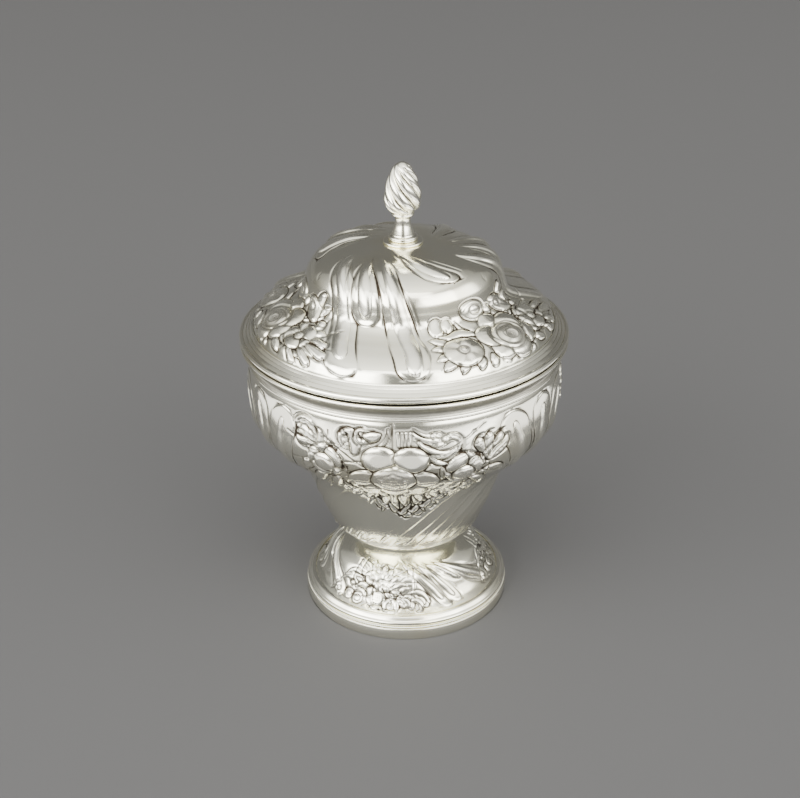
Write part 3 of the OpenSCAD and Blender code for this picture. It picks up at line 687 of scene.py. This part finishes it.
def settle(k, top, bottom, soft=0.3, lo=-0.45, hi=1.1, wob=0.04):
    """Softens the chasing slightly, fades it at the edges and adds the faint unevenness of hammered sheet."""
    n = rng.standard_normal(k.h.shape)
    dx = np.mean(k.R) * rad(120.0 / k.nt)
    n = blur(n, 5.0 / k.ds, 5.0 / dx)
    n *= wob / (np.abs(n).max() + 1e-9)
    f = (sstep(k.S, 0, top) * (1 - sstep(k.S, k.S[-1] - bottom, k.S[-1])))[:, None]
    k.h = np.clip(blur(k.h, soft * 0.5 / k.ds, soft * 0.5 / dx) + n, lo, hi) * f
    wide = blur(k.h, 0.8 / k.ds, 0.8 / dx)
    low = np.clip((wide - k.h - 0.07) / 0.25, 0, 1)
    # the darkening is uneven: rubbed off here, left there
    m = rng.standard_normal(k.h.shape)
    m = blur(m, 1.7 / k.ds, 1.7 / dx)
    m = np.clip(0.9 + 0.38 * m / m.std(), 0.3, 1.35)
    k.patina_and_shade_map = np.clip(np.clip(k.patina_and_shade_map, 0, 1) * (0.85 + 0.8 * low) * f * m, 0, 1)
    k.high = np.clip(np.maximum((k.h - wide) / 0.3, 0.85 * sstep(k.h, 0.22, 0.75)), 0, 1)


settle(bowl, 1.6, 0.8, soft=0.4)
settle(lid, 1.5, 1.0, soft=0.45)
settle(foot, 1.5, 0.9, soft=0.4)


# ------------------------------------------------------------------ meshes
def make(name, rows, wear=None, sharp=(), nt=None, attrs=None, closed=True, th=None):
    """A closed solid of revolution.  rows run down the outside and back up the inside; each is (r, z), numbers or
    one value per column.  A row on the axis becomes one point."""
    th = rad(np.arange(nt) * 360.0 / nt) if th is None else th
    nt = len(th)
    co, first, single, val = [], [], [], []
    n = 0
    for i, (r, z) in enumerate(rows):
        if np.ndim(r) == 0 and abs(r) < 1e-9:
            co.append(np.array([[0.0, 0.0, z]]))
            first.append(n)
            single.append(True)
            n += 1
        else:
            r = np.broadcast_to(r, nt)
            z = np.broadcast_to(z, nt)
            co.append(np.stack([r * np.sin(th), -r * np.cos(th), z], 1))
            first.append(n)
            single.append(False)
            n += nt
    co = np.concatenate(co) * MM
    j = np.arange(nt)
    jn = (j + 1) % nt
    loops, totals = [], []
    m = len(rows)
    for i in range(m if closed else m - 1):
        k = (i + 1) % m
        a, b = first[i], first[k]
        if single[i] and single[k]:
            continue
        if single[i]:
            f = np.stack([np.full(nt, a), b + j, b + jn], 1)
        elif single[k]:
            f = np.stack([a + j, np.full(nt, b), a + jn], 1)
        else:
            f = np.stack([a + j, b + j, b + jn, a + jn], 1)
        loops.append(f.ravel())
        totals.append(np.full(nt, f.shape[1]))
    loops = np.concatenate(loops)
    totals = np.concatenate(totals)
    me = bpy.data.meshes.new(name)
    me.vertices.add(len(co))
    me.vertices.foreach_set("co", co.ravel())
    me.loops.add(len(loops))
    me.loops.foreach_set("vertex_index", loops.astype(np.int32))
    me.polygons.add(len(totals))
    me.polygons.foreach_set("loop_start", np.r_[0, np.cumsum(totals)[:-1]].astype(np.int32))
    me.update(calc_edges=True)
    me.validate()
    me.polygons.foreach_set("use_smooth", np.ones(len(me.polygons), bool))
    if len(sharp):
        sh = np.zeros(len(me.vertices), int) - 1
        for i in sharp:
            i = i % m
            if not single[i]:
                sh[first[i]:first[i] + nt] = i
        ev = np.zeros(len(me.edges) * 2, np.int32)
        me.edges.foreach_get("vertices", ev)
        ev = ev.reshape(-1, 2)
        on = (sh[ev[:, 0]] >= 0) & (sh[ev[:, 0]] == sh[ev[:, 1]])
        at = me.attributes.new("sharp_edge", "BOOLEAN", "EDGE")
        at.data.foreach_set("value", on)
    for key, a in (attrs or {}).items():
        at = me.attributes.new(key, "FLOAT", "POINT")
        at.data.foreach_set("value", a.astype(np.float32))
    o = bpy.data.objects.new(name, me)
    bpy.context.scene.collection.objects.link(o)
    return o


def ring_piece(name, P, nt=360, node=None, body="bowl", angle=35, round_=0.0, mat=None):
    """A ring turned from the closed outline P, clockwise seen with the axis at the left; its small corners are eased."""
    # a third number at a point is how dark it is painted there; the callers give painted shade this way
    dark = [p[2] if len(p) > 2 else 0.0 for p in P]
    P = [np.array(p[:2], float) for p in P]
    # drop doubled points
    keep = [i for i, p in enumerate(P) if np.hypot(*(p - P[i - 1])) > 1e-6]
    Q, dark = [P[i] for i in keep], [dark[i] for i in keep]
    R, sharp, D = [], [], []
    n = len(Q)
    area = sum(Q[i - 1][0] * Q[i][1] - Q[i][0] * Q[i - 1][1] for i in range(n))
    for i in range(n):
        a, b, c = Q[i - 1], Q[i], Q[(i + 1) % n]
        u, v = a - b, c - b
        lu, lv = np.hypot(*u), np.hypot(*v)
        turn = math.degrees(math.acos(np.clip(-(u @ v) / (lu * lv), -1, 1)))
        hollow = (v[0] * u[1] - v[1] * u[0]) * area < 0
        if turn > angle and hollow:
            # tarnish stays in an inner corner
            eu, ev = min(0.16, 0.4 * lu), min(0.16, 0.4 * lv)
            R += [b + u / lu * eu, b + u / lu * eu * 0.5, b, b + v / lv * ev * 0.5, b + v / lv * ev]
            D += [0.0, 0.55, 0.95, 0.55, 0.0]
            sharp.append(len(R) - 3)
        elif turn > angle and round_ > 0:
            e = min(round_, 0.4 * lu, 0.4 * lv)
            p0, p1 = b + u / lu * e, b + v / lv * e
            for t in (0.0, 0.25, 0.5, 0.75, 1.0):
                R.append((1 - t) ** 2 * p0 + 2 * t * (1 - t) * b + t * t * p1)
                D.append(dark[i])
        else:
            R.append(b)
            D.append(dark[i])
            if turn > angle:
                sharp.append(len(R) - 1)
    o = make(name, [(p[0], p[1]) for p in R], nt=nt, sharp=sharp,
             attrs={"patina_and_shade": np.repeat(np.array(D), nt), "high": np.zeros(len(R) * nt)})
    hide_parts(node or name)
    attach(o, body)
    o.data.materials.append(mat)
    return o


def skin_rows(k):
    """The raised surface, whole circle: r and z of every row."""
    H = np.tile(k.h, (1, 3))
    R = k.R[:, None] + H * k.N[:, :1]
    Z = k.Z[:, None] + H * k.N[:, 1:]
    return R, Z


def full(k, a):
    return np.tile(a, (1, 3))


# ------------------------------------------------------------------ materials
def silver(name, base=(0.948, 0.934, 0.80), rough=0.06, patina_and_shade=False, worn=0.5, bump=0.10, brushed=0.0, tarnish=0.3):
    m = bpy.data.materials.new(name)
    m.use_nodes = True
    T = m.node_tree
    N, L = T.nodes, T.links
    N.clear()
    out = N.new("ShaderNodeOutputMaterial")
    b = N.new("ShaderNodeBsdfPrincipled")
    L.new(b.outputs[0], out.inputs[0])
    b.inputs["Metallic"].default_value = 1.0
    tc = N.new("ShaderNodeTexCoord")

    def noise(scale, detail=4.0, rough_=0.55, vec=None, dist=0.0):
        n = N.new("ShaderNodeTexNoise")
        n.inputs["Scale"].default_value = scale
        n.inputs["Detail"].default_value = detail
        n.inputs["Roughness"].default_value = rough_
        n.inputs["Distortion"].default_value = dist
        L.new(vec or tc.outputs["Object"], n.inputs["Vector"])
        return n.outputs["Fac"]

    def ramp(src, stops, mode="EASE"):
        r = N.new("ShaderNodeValToRGB")
        r.color_ramp.interpolation = mode
        e = r.color_ramp.elements
        while len(e) < len(stops):
            e.new(0.5)
        for el, (p, c) in zip(e, stops):
            el.position = p
            el.color = (*c, 1) if len(c) == 3 else c
        L.new(src, r.inputs[0])
        return r.outputs["Color"]

    def math_(op, a, b_, clamp=False):
        n = N.new("ShaderNodeMath")
        n.operation = op
        n.use_clamp = clamp
        for i, v in enumerate((a, b_)):
            if isinstance(v, (int, float)):
                n.inputs[i].default_value = v
            else:
                L.new(v, n.inputs[i])
        return n.outputs[0]

    def mix(f, a, b_):
        n = N.new("ShaderNodeMix")
        n.data_type = "RGBA"
        for s, v in ((n.inputs[0], f), (n.inputs[6], a), (n.inputs[7], b_)):
            if isinstance(v, (int, float)):
                s.default_value = v
            elif isinstance(v, tuple):
                s.default_value = (*v, 1)
            else:
                L.new(v, s)
        return n.outputs[2]

    # colour: clean silver, with slightly warm and slightly cool areas where it has begun to tarnish
    warm = (base[0] * 0.99, base[1] * 0.955, base[2] * 0.87)
    cool = (base[0] * 0.955, base[1] * 0.965, base[2] * 0.985)
    c = ramp(noise(26.0, 3.0), [(0.30, cool), (0.5, base), (0.74, warm)])
    spots = ramp(noise(170.0, 5.0, 0.7), [(0.60, (0, 0, 0)), (0.80, (1, 1, 1))])
    c = mix(math_("MULTIPLY", spots, tarnish), c, (0.70, 0.655, 0.56))
    r = ramp(noise(60.0, 6.0, 0.65), [(0.3, (rough * 0.75,) * 3), (0.75, (rough * 1.35,) * 3)])
    if patina_and_shade:
        # darkened by the attribute painted on the mesh: tarnish in the chased lines and hollows, and painted shade
        # under the lid's brim, in the mouth moulding and along the bowl's bottom edge
        at = N.new("ShaderNodeAttribute")
        at.attribute_name = "patina_and_shade"
        pv = math_("MULTIPLY", at.outputs["Fac"], math_("ADD", 0.72, math_("MULTIPLY", noise(420.0, 4.0, 0.7), 0.55)), True)
        pv = ramp(pv, [(0.12, (0, 0, 0)), (0.5, (0.62,) * 3), (0.85, (1, 1, 1))])
        c = mix(pv, c, (0.040, 0.031, 0.022))
        r = math_("ADD", r, math_("MULTIPLY", pv, 0.34))
        hi = N.new("ShaderNodeAttribute")
        hi.attribute_name = "high"
        c = mix(math_("MULTIPLY", hi.outputs["Fac"], worn), c, (0.955, 0.942, 0.86))
        # raised work keeps the satin of the tools
        r = math_("ADD", r, math_("MULTIPLY", math_("MULTIPLY", hi.outputs["Fac"], ramp(noise(330.0, 3.0, 0.6), [(0.3, (0.55,) * 3), (0.7, (1, 1, 1))])), 0.15))
    L.new(c, b.inputs["Base Color"])
    # hairlines from polishing, along two directions, and the faint waviness of worked sheet
    mp = N.new("ShaderNodeMapping")
    mp.inputs["Scale"].default_value = (1.0, 1.0, 26.0) if not brushed else (1.0, 1.0, 60.0)
    mp.inputs["Rotation"].default_value = (0.18, 0.11, 0.0)
    L.new(tc.outputs["Object"], mp.inputs["Vector"])
    mq = N.new("ShaderNodeMapping")
    mq.inputs["Scale"].default_value = (22.0, 1.3, 1.3)
    mq.inputs["Rotation"].default_value = (0.3, 0.5, 0.8)
    L.new(tc.outputs["Object"], mq.inputs["Vector"])
    hair = math_("ADD", noise(300.0, 3.0, 0.6, mp.outputs[0]), noise(240.0, 2.0, 0.6, mq.outputs[0]))
    r = math_("ADD", r, math_("MULTIPLY", ramp(hair, [(0.46, (0, 0, 0)), (0.74, (1, 1, 1))]), 0.03 + brushed * 0.12))
    L.new(r, b.inputs["Roughness"])
    b1 = N.new("ShaderNodeBump")
    b1.inputs["Strength"].default_value = bump + brushed * 0.5
    b1.inputs["Distance"].default_value = 0.00004
    L.new(hair, b1.inputs["Height"])
    b2 = N.new("ShaderNodeBump")
    b2.inputs["Strength"].default_value = 0.35
    b2.inputs["Distance"].default_value = 0.00012
    L.new(noise(150.0, 2.0, 0.5), b2.inputs["Height"])
    L.new(b1.outputs[0], b2.inputs["Normal"])
    L.new(b2.outputs[0], b.inputs["Normal"])
    return m


M_BOWL = silver("bowl_silver_mat", patina_and_shade=True, rough=0.115)
M_LID = silver("lid_silver_mat", patina_and_shade=True, rough=0.10)
M_FOOT = silver("foot_silver_mat", patina_and_shade=True, rough=0.12)
M_MOULD = silver("moulding_silver_mat", patina_and_shade=True, rough=0.10, brushed=0.12, base=(0.942, 0.926, 0.80))
M_FINIAL = silver("finial_silver_mat", patina_and_shade=True, rough=0.12, base=(0.95, 0.935, 0.82))
M_PLAIN = silver("plain_silver_mat", rough=0.2, base=(0.86, 0.85, 0.82), brushed=0.6, tarnish=0.6)

T9 = 0.9


def curve_in(k, w=T9, step=4):
    """The smooth inner side of a sheet w thick."""
    i = np.unique(np.r_[np.arange(0, k.ns, step), k.ns - 1])
    return [(k.R[a] - w * k.N[a, 0], k.Z[a] - w * k.N[a, 1]) for a in i]


# bowl: collar, raised body, flat bottom, and the smooth inside
R, Z = skin_rows(bowl)
NTB = bowl.nt * 3
rows = [(53.0, 104.3), (53.0, 101.2)] + [(R[i], Z[i]) for i in range(bowl.ns)]
n_out = len(rows)
rows += [(24.6, 29.45), (24.0, 29.05), (23.2, 28.82), (20.8, 28.4), (18.0, 28.2), (8.0, 28.2), (0.0, 28.2)]
ins = [p for p in curve_in(bowl) if p[0] < 52.05 or p[1] < 95.0]
floor = [(0.0, 30.3), (8.0, 30.3), (18.0, 30.3), (21.0, 30.3), (22.4, 30.42), (23.4, 30.75)]
ins_up = [p for p in ins[::-1] if p[1] > 31.3]
rows += floor + [p for p in ins_up if p[1] < 97.6] + [(52.1, 98.2), (52.1, 104.3)]
patina_and_shade_map = np.zeros((len(rows), NTB))
high = np.zeros((len(rows), NTB))
patina_and_shade_map[2:2 + bowl.ns] = full(bowl, bowl.patina_and_shade_map)
high[2:2 + bowl.ns] = full(bowl, bowl.high)


def per_vertex(rows, A):
    return np.concatenate([A[i, :1] if (np.ndim(r) == 0 and abs(r) < 1e-9) else A[i] for i, (r, z) in enumerate(rows)])


o = make("bowl_body", rows, nt=NTB, sharp=(0, len(rows) - 1, 2),
         attrs={"patina_and_shade": per_vertex(rows, patina_and_shade_map), "high": per_vertex(rows, high)})
o.data.materials.append(M_BOWL)
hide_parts("bowl_shell")
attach(o, "bowl")

# lid dome
R, Z = skin_rows(lid)
NTL = lid.nt * 3
rows = [(1.25, 137.3), (4.5, 137.3)] + [(R[i], Z[i]) for i in range(lid.ns)] + [(52.1, 109.0), (51.2, 109.0)]
ins = curve_in(lid)[::-1]
rows += [p for p in ins if p[1] > 109.6 and p[0] > 7.3] + [(7.2, 136.4), (1.25, 136.4)]
patina_and_shade_map = np.zeros((len(rows), NTL))
high = np.zeros((len(rows), NTL))
patina_and_shade_map[2:2 + lid.ns] = full(lid, lid.patina_and_shade_map)
high[2:2 + lid.ns] = full(lid, lid.high)
o = make("lid_dome_chased", rows, nt=NTL, sharp=(0, len(rows) - 1, 2 + lid.ns, 3 + lid.ns),
         attrs={"patina_and_shade": per_vertex(rows, patina_and_shade_map), "high": per_vertex(rows, high)})
o.data.materials.append(M_LID)
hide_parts("lid_dome")
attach(o, "lid")

# foot
R, Z = skin_rows(foot)
NTF = foot.nt * 3
rows = [(R[i], Z[i]) for i in range(foot.ns)] + [(35.2, 7.9), (35.2, 7.0)]
rows += [p for p in curve_in(foot)[::-1]][1:-1] + [(15.1, 28.2)]
patina_and_shade_map = np.zeros((len(rows), NTF))
high = np.zeros((len(rows), NTF))
patina_and_shade_map[:foot.ns] = full(foot, foot.patina_and_shade_map)
high[:foot.ns] = full(foot, foot.high)
o = make("foot_pedestal_chased", rows, nt=NTF, sharp=(0, len(rows) - 1, foot.ns, foot.ns + 1),
         attrs={"patina_and_shade": per_vertex(rows, patina_and_shade_map), "high": per_vertex(rows, high)})
o.data.materials.append(M_FOOT)
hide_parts("foot_pedestal")
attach(o, "bowl")

# ------------------------------------------------------------------ mouldings
bc = smooth([[53, 98.2], [53.7, 97], [54.4, 95], [54.8, 91]], 8)
# the third numbers are painted shade: at the top edge under the lid's brim (0.7) and in the hollow below the roll
# (0.47)
mouth = [(53.0, 98.7), (53.0, 104.3), (55.9, 104.3, 0.7)]
mouth += [tuple(p) for p in smooth([[55.9, 104.3], [56.6, 104.12], [56.95, 103.72], [56.95, 103.3], [56.6, 102.95]], 5)[1:]]
mouth += [(p[0], p[1], 0.47) for p in smooth([[56.2, 102.7], [55.2, 101.7], [54.55, 100.5], [54.4, 99.4], [54.75, 98.7]], 5)]
ring_piece("bowl_mouth_moulding_turned", mouth, node="bowl_mouth_moulding", round_=0.08, mat=M_MOULD)
bead = [(53.0, 98.2), (53.0, 98.7), (54.1, 98.7)]
bead += [tuple(p) for p in smooth([[54.1, 98.7], [54.55, 98.4], [54.75, 97.9], [54.65, 97.4], [54.3, 97.05]], 5)[1:]]
bead += [(53.68, 97.0)] + [tuple(p) for p in bc[:8][::-1] if p[1] > 97.02]
ring_piece("bowl_mouth_bead_wire", bead, node="bowl_mouth_bead", round_=0.05, mat=M_MOULD)

# the third numbers are painted shade on the brim's underside, where it sits over the bowl's mouth
brim = [(50.8 + 0.9, 107.6), (51.2, 109.0), (52.1, 109.0), (52.1, 109.6), (52.5, 109.05), (52.6, 109.1), (53.4, 108.25), (53.5, 108.35),
        (54.4, 107.55), (54.5, 107.65), (55.7, 106.8), (55.9, 106.95), (56.3, 106.95), (56.75, 106.7), (57.0, 106.2), (57.0, 105.7),
        (56.7, 105.15), (56.35, 104.9, 0.55), (56.0, 104.75, 0.95), (55.2, 104.35, 1.0), (51.7, 104.35, 0.6)]
ring_piece("lid_brim_moulding_turned", brim, node="lid_brim_moulding", body="lid", round_=0.14, angle=22, mat=M_MOULD)

rim = [(35.2, 7.95), (35.6, 8.35)] + [tuple(p) for p in smooth([[35.6, 8.35], [36.1, 7.75], [36.5, 7.2]], 4)[1:]]
rim += [tuple(p) for p in arc(36.4, 6.2, 0.9, 62, -62, 14)] + [(36.6, 5.3), (35.25, 5.3), (35.25, 7.8)]
rim = [(34.25, 8.45), (34.9, 8.6)] + rim[1:-1] + [(35.25, 7.86), (34.2, 8.22)]
ring_piece("foot_rim_moulding_turned", rim, node="foot_rim_moulding", round_=0.1, mat=M_MOULD)

# milled wire: a fine strip cut with slanting notches
nw = 330
col = 6
th = rad(np.arange(nw * col) * 360.0 / (nw * col))
ph = (np.arange(nw * col) / col)
rows = []
for r, z, dep in ((35.65, 5.3, 0), (37.25, 5.3, 0.1), (37.55, 5.12, 0.28), (37.6, 4.8, 0.32), (37.55, 4.48, 0.28), (37.25, 4.3, 0.1), (35.65, 4.3, 0)):
    cut = np.clip(np.cos(2 * np.pi * (ph + (z - 4.8) * 0.25)), -1, 1)
    cut = np.clip(cut, -0.2, 1) ** 2 * np.sign(np.clip(cut, 0, 1))
    rows.append((r - dep * cut, z))
o = make("foot_milled_wire_cut", rows, th=th, sharp=(0, 6),
         attrs={"patina_and_shade": np.concatenate([np.clip((cut_ := np.clip(np.cos(2 * np.pi * (ph + (z - 4.8) * 0.25)), 0, 1) ** 2) * (0.9 if 4.35 < z < 5.25 else 0.5), 0, 1)
                                          for r, z in [(0, 5.3), (0, 5.3), (0, 5.12), (0, 4.8), (0, 4.48), (0, 4.3), (0, 4.3)]]),
                "high": np.zeros(nw * col * 7)})
o.data.materials.append(M_FOOT)
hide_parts("foot_milled_wire")
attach(o, "bowl")

band = [(36.8, 4.3), (37.55, 4.3), (37.7, 4.15), (37.7, 2.2), (37.7, 0.22), (37.5, 0.0), (36.95, 0.0), (36.8, 0.15)]
ring_piece("foot_band_turned", band, node="foot_band", round_=0.0, angle=50, mat=M_MOULD)

bez = [(50.8, 107.6), (51.7, 107.6), (51.7, 98.55), (51.45, 98.3), (51.0, 98.3), (50.8, 98.5)]
ring_piece("lid_bezel_strip", bez, node="lid_bezel", body="lid", round_=0.0, angle=50, mat=M_PLAIN)

# ------------------------------------------------------------------ finial
disc = [(1.25, 138.3), (5.6, 138.3)] + [tuple(p) for p in smooth([[5.6, 138.3], [6.5, 138.22], [6.8, 137.9], [6.75, 137.55], [6.4, 137.3]], 5)[1:]] + [(1.25, 137.3)]
ring_piece("finial_base_disc_turned", disc, nt=160, node="finial_base_disc", body="lid", round_=0.0, mat=M_MOULD)
stem = [(1.25, 147.9), (3.4, 147.9)] + [tuple(p) for p in smooth([[3.4, 147.9], [3.82, 147.7], [3.97, 147.3], [3.7, 146.9]], 5)[1:]]
stem += [tuple(p) for p in smooth([[3.1, 146.6], [2.65, 146.0], [2.6, 145.0], [2.8, 143.8], [3.3, 142.2], [3.75, 140.6]], 5)]
stem += [(3.8, 140.25), (3.95, 140.0)] + [tuple(p) for p in smooth([[4.4, 139.9], [4.87, 139.6], [5.02, 139.1], [4.9, 138.6], [4.4, 138.3]], 5)] + [(1.25, 138.3)]
ring_piece("finial_stem_turned", stem, nt=120, node="finial_stem", body="lid", round_=0.08, angle=28, mat=M_MOULD)

fc = smooth([[3.4, 147.9], [4.9, 148.8], [6.0, 150.6], [6.4, 152.8], [6.1, 155.8], [5.3, 158.8], [4.1, 161.6], [2.6, 163.9], [1.1, 164.9], [0.12, 165.0]], 14)[::-1]
Lf = np.r_[0, np.cumsum(np.hypot(*np.diff(fc, axis=0).T))]
sf = np.linspace(0, Lf[-1], 120)
rf, zf = np.interp(sf, Lf, fc[:, 0]), np.interp(sf, Lf, fc[:, 1])
ntf = 288
tf = rad(np.arange(ntf) * 360.0 / ntf)
tw = np.cumsum(np.r_[0, np.diff(sf) / np.clip((rf[1:] + rf[:-1]) / 2, 3.1, None)]) * 0.86
dr, dz = np.gradient(rf), np.gradient(zf)
mm = np.hypot(dr, dz)
rows, patina_and_shade_map = [(0.0, 165.0)], [np.zeros(1)]
for i in range(len(sf)):
    u = (7 * (tf - tw[i] - 0.30) / (2 * np.pi)) % 1.0
    x = 2 * u - 1
    prof = 1 - np.abs(x) ** 2.6
    g = np.exp(-((1 - np.abs(x)) / 0.10) ** 2)
    D = (1.25 * sstep(sf[-1] - sf[i], 0.0, 2.0) + 0.1) * sstep(rf[i], 1.6, 5.2)
    h = D * (prof - 1)
    rr = np.clip(rf[i] + h * (-dz[i] / mm[i]), 0.04, None)
    rows.append((rr, zf[i] + h * (dr[i] / mm[i])))
    patina_and_shade_map.append(np.clip(g * 0.9 * np.clip(D / 0.7, 0, 1), 0, 1))
rows += [(1.25, 147.9), (1.25, 151.0), (0.0, 151.0)]
patina_and_shade_map += [np.zeros(ntf), np.zeros(ntf), np.zeros(1)]
patina_and_shade_map = np.concatenate(patina_and_shade_map)
o = make("finial_flame_wrythen", rows, th=tf, sharp=(len(rows) - 4, len(rows) - 3, len(rows) - 2),
         attrs={"patina_and_shade": patina_and_shade_map, "high": np.zeros(len(patina_and_shade_map))}, closed=True)
o.data.materials.append(M_FINIAL)
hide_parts("finial_flame")
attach(o, "lid")

for n in ("finial_stud", "finial_washer", "finial_nut"):
    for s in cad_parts[n].material_slots:
        s.material = M_PLAIN

# ------------------------------------------------------------------ stage
def stage_mat(name, col, rough):
    m = bpy.data.materials.new(name)
    m.use_nodes = True
    N, L = m.node_tree.nodes, m.node_tree.links
    b = N["Principled BSDF"]
    b.inputs["Roughness"].default_value = rough
    n = N.new("ShaderNodeTexNoise")
    n.inputs["Scale"].default_value = 3.0
    r = N.new("ShaderNodeValToRGB")
    r.color_ramp.elements[0].color = (*[c * 0.985 for c in col], 1)
    r.color_ramp.elements[1].color = (*col, 1)
    L.new(n.outputs["Fac"], r.inputs[0])
    L.new(r.outputs[0], b.inputs["Base Color"])
    return m


# a pale sweep: floor, a wide bend and a back wall
me = bpy.data.meshes.new("floor")
prof = [(-3.0, 0.0), (1.6, 0.0)] + [(1.6 + 0.9 * math.sin(a), 0.9 - 0.9 * math.cos(a)) for a in rad(np.linspace(6, 84, 14))] + [(2.5, 0.9), (2.5, 3.2)]
v, f = [], []
for i, (y, z) in enumerate(prof):
    v += [(-3.2, y, z), (3.2, y, z)]
    if i:
        f.append((2 * i - 2, 2 * i - 1, 2 * i + 1, 2 * i))
me.from_pydata(v, [], f)
me.update()
me.polygons.foreach_set("use_smooth", np.ones(len(me.polygons), bool))
floor_o = bpy.data.objects.new("floor", me)
bpy.context.scene.collection.objects.link(floor_o)
me.materials.append(stage_mat("floor_mat", (0.070, 0.0695, 0.072), 0.8))

# a light tent: bright in front, at the sides and overhead, duller behind the object
w = bpy.data.worlds.new("studio")
bpy.context.scene.world = w
w.use_nodes = True
WN, WL = w.node_tree.nodes, w.node_tree.links
tc = WN.new("ShaderNodeTexCoord")
sp = WN.new("ShaderNodeSeparateXYZ")
WL.new(tc.outputs["Generated"], sp.inputs[0])


def map_range(src, a, b_, lo, hi):
    n = WN.new("ShaderNodeMapRange")
    n.interpolation_type = "SMOOTHSTEP"
    for i, v in zip(("From Min", "From Max", "To Min", "To Max"), (a, b_, lo, hi)):
        n.inputs[i].default_value = v
    WL.new(src, n.inputs["Value"])
    return n.outputs["Result"]


def two(op, x, y):
    n = WN.new("ShaderNodeMath")
    n.operation = op
    WL.new(x, n.inputs[0])
    if isinstance(y, float):
        n.inputs[1].default_value = y
    else:
        WL.new(y, n.inputs[1])
    return n.outputs[0]


# the opening in its front, where a camera would stand, is duller
open_x = map_range(two("ABSOLUTE", sp.outputs["X"], 0.0), 0.16, 0.34, 0.32, 1.0)
open_z = map_range(sp.outputs["Z"], 0.42, 0.62, 0.32, 1.0)
open_y = map_range(sp.outputs["Y"], -0.4, -0.1, 0.32, 1.0)
gap = two("MULTIPLY", two("MAXIMUM", two("MAXIMUM", open_x, open_z), open_y), map_range(sp.outputs["Z"], 0.06, 0.26, 0.60, 1.0))
body = two("MULTIPLY", map_range(sp.outputs["Y"], -0.15, 0.60, 1.15, 0.34), gap)
# its two side walls, lit from outside, and its roof
wall = two("MULTIPLY", two("MULTIPLY", map_range(two("ABSOLUTE", sp.outputs["X"], 0.0), 0.20, 0.36, 0.0, 1.0), map_range(sp.outputs["X"], -0.4, 0.4, 6.0, 4.0)), map_range(sp.outputs["Y"], -0.05, 0.20, 1.0, 0.0))
wall = two("MULTIPLY", wall, two("MULTIPLY", map_range(sp.outputs["Z"], 0.10, 0.22, 0.0, 1.0), map_range(sp.outputs["Z"], 0.48, 0.68, 1.0, 0.0)))
roof = two("MULTIPLY", map_range(sp.outputs["Z"], 0.70, 0.88, 0.0, 0.95), map_range(sp.outputs["Y"], -0.40, 0.05, 1.7, 1.0))
WL.new(two("ADD", two("ADD", body, wall), roof), WN["Background"].inputs[1])
WN["Background"].inputs[0].default_value = (1.0, 0.99, 0.94, 1)


def softbox(name, loc, target, sx, sy, power, col=(1, 0.985, 0.96), shadow=True):
    d = bpy.data.lights.new(name, "AREA")
    d.shape = "RECTANGLE"
    d.size, d.size_y = sx, sy
    d.energy = power
    d.color = col
    d.use_shadow = shadow
    o = bpy.data.objects.new(name, d)
    bpy.context.scene.collection.objects.link(o)
    o.location = loc
    o.rotation_euler = (Vector(target) - Vector(loc)).to_track_quat("-Z", "Y").to_euler()
    o.visible_camera = False
    return o


def card(name, x, y, sx, sy, turn, power):
    """A white card lying on the floor, lit from above."""
    o = softbox(name, (x, y, 0.003), (x, y, 1.0), sx, sy, power)
    o.rotation_euler = (math.pi, 0, rad(turn))


softbox("front_left", (-0.80, -0.80, 0.70), (0, 0, 0.12), 0.95, 0.75, 12.0)
softbox("front_right", (0.80, -0.85, 0.70), (0, 0, 0.12), 0.90, 0.75, 9.0)
softbox("front_top", (0.0, -0.72, 0.98), (0, 0, 0.12), 1.10, 0.34, 5.0)
card("front_card", 0.0, -0.24, 0.20, 0.21, 0, 0.15)
card("front_card_left", -0.27, -0.24, 0.34, 0.21, 0, 0.62)
card("front_card_right", 0.27, -0.24, 0.34, 0.21, 0, 0.70)
card("left_card", -0.345, -0.085, 0.34, 0.34, 14, 0.80)
card("right_card", 0.345, -0.085, 0.34, 0.34, -14, 0.80)

# ------------------------------------------------------------------ camera
cam_d = bpy.data.cameras.new("camera")
cam = bpy.data.objects.new("camera", cam_d)
bpy.context.scene.collection.objects.link(cam)
bpy.context.scene.camera = cam
cam_d.sensor_fit = "HORIZONTAL"
cam_d.sensor_width = 36.0
cam_d.lens = 1339.0 / 800.0 * 36.0
cam_d.clip_start = 0.01
cam_d.dof.use_dof = False
p, ro = rad(27.34), 0.01135
fwd = Vector((0, math.cos(p), -math.sin(p)))
upv = Vector((0, math.sin(p), math.cos(p)))
rt = Vector((1, 0, 0))
right = rt * math.cos(ro) - upv * math.sin(ro)
upr = upv * math.cos(ro) + rt * math.sin(ro)
cam.matrix_world = Matrix(((right.x, upr.x, -fwd.x, -0.00163), (right.y, upr.y, -fwd.y, -0.4246), (right.z, upr.z, -fwd.z, 0.2972), (0, 0, 0, 1)))
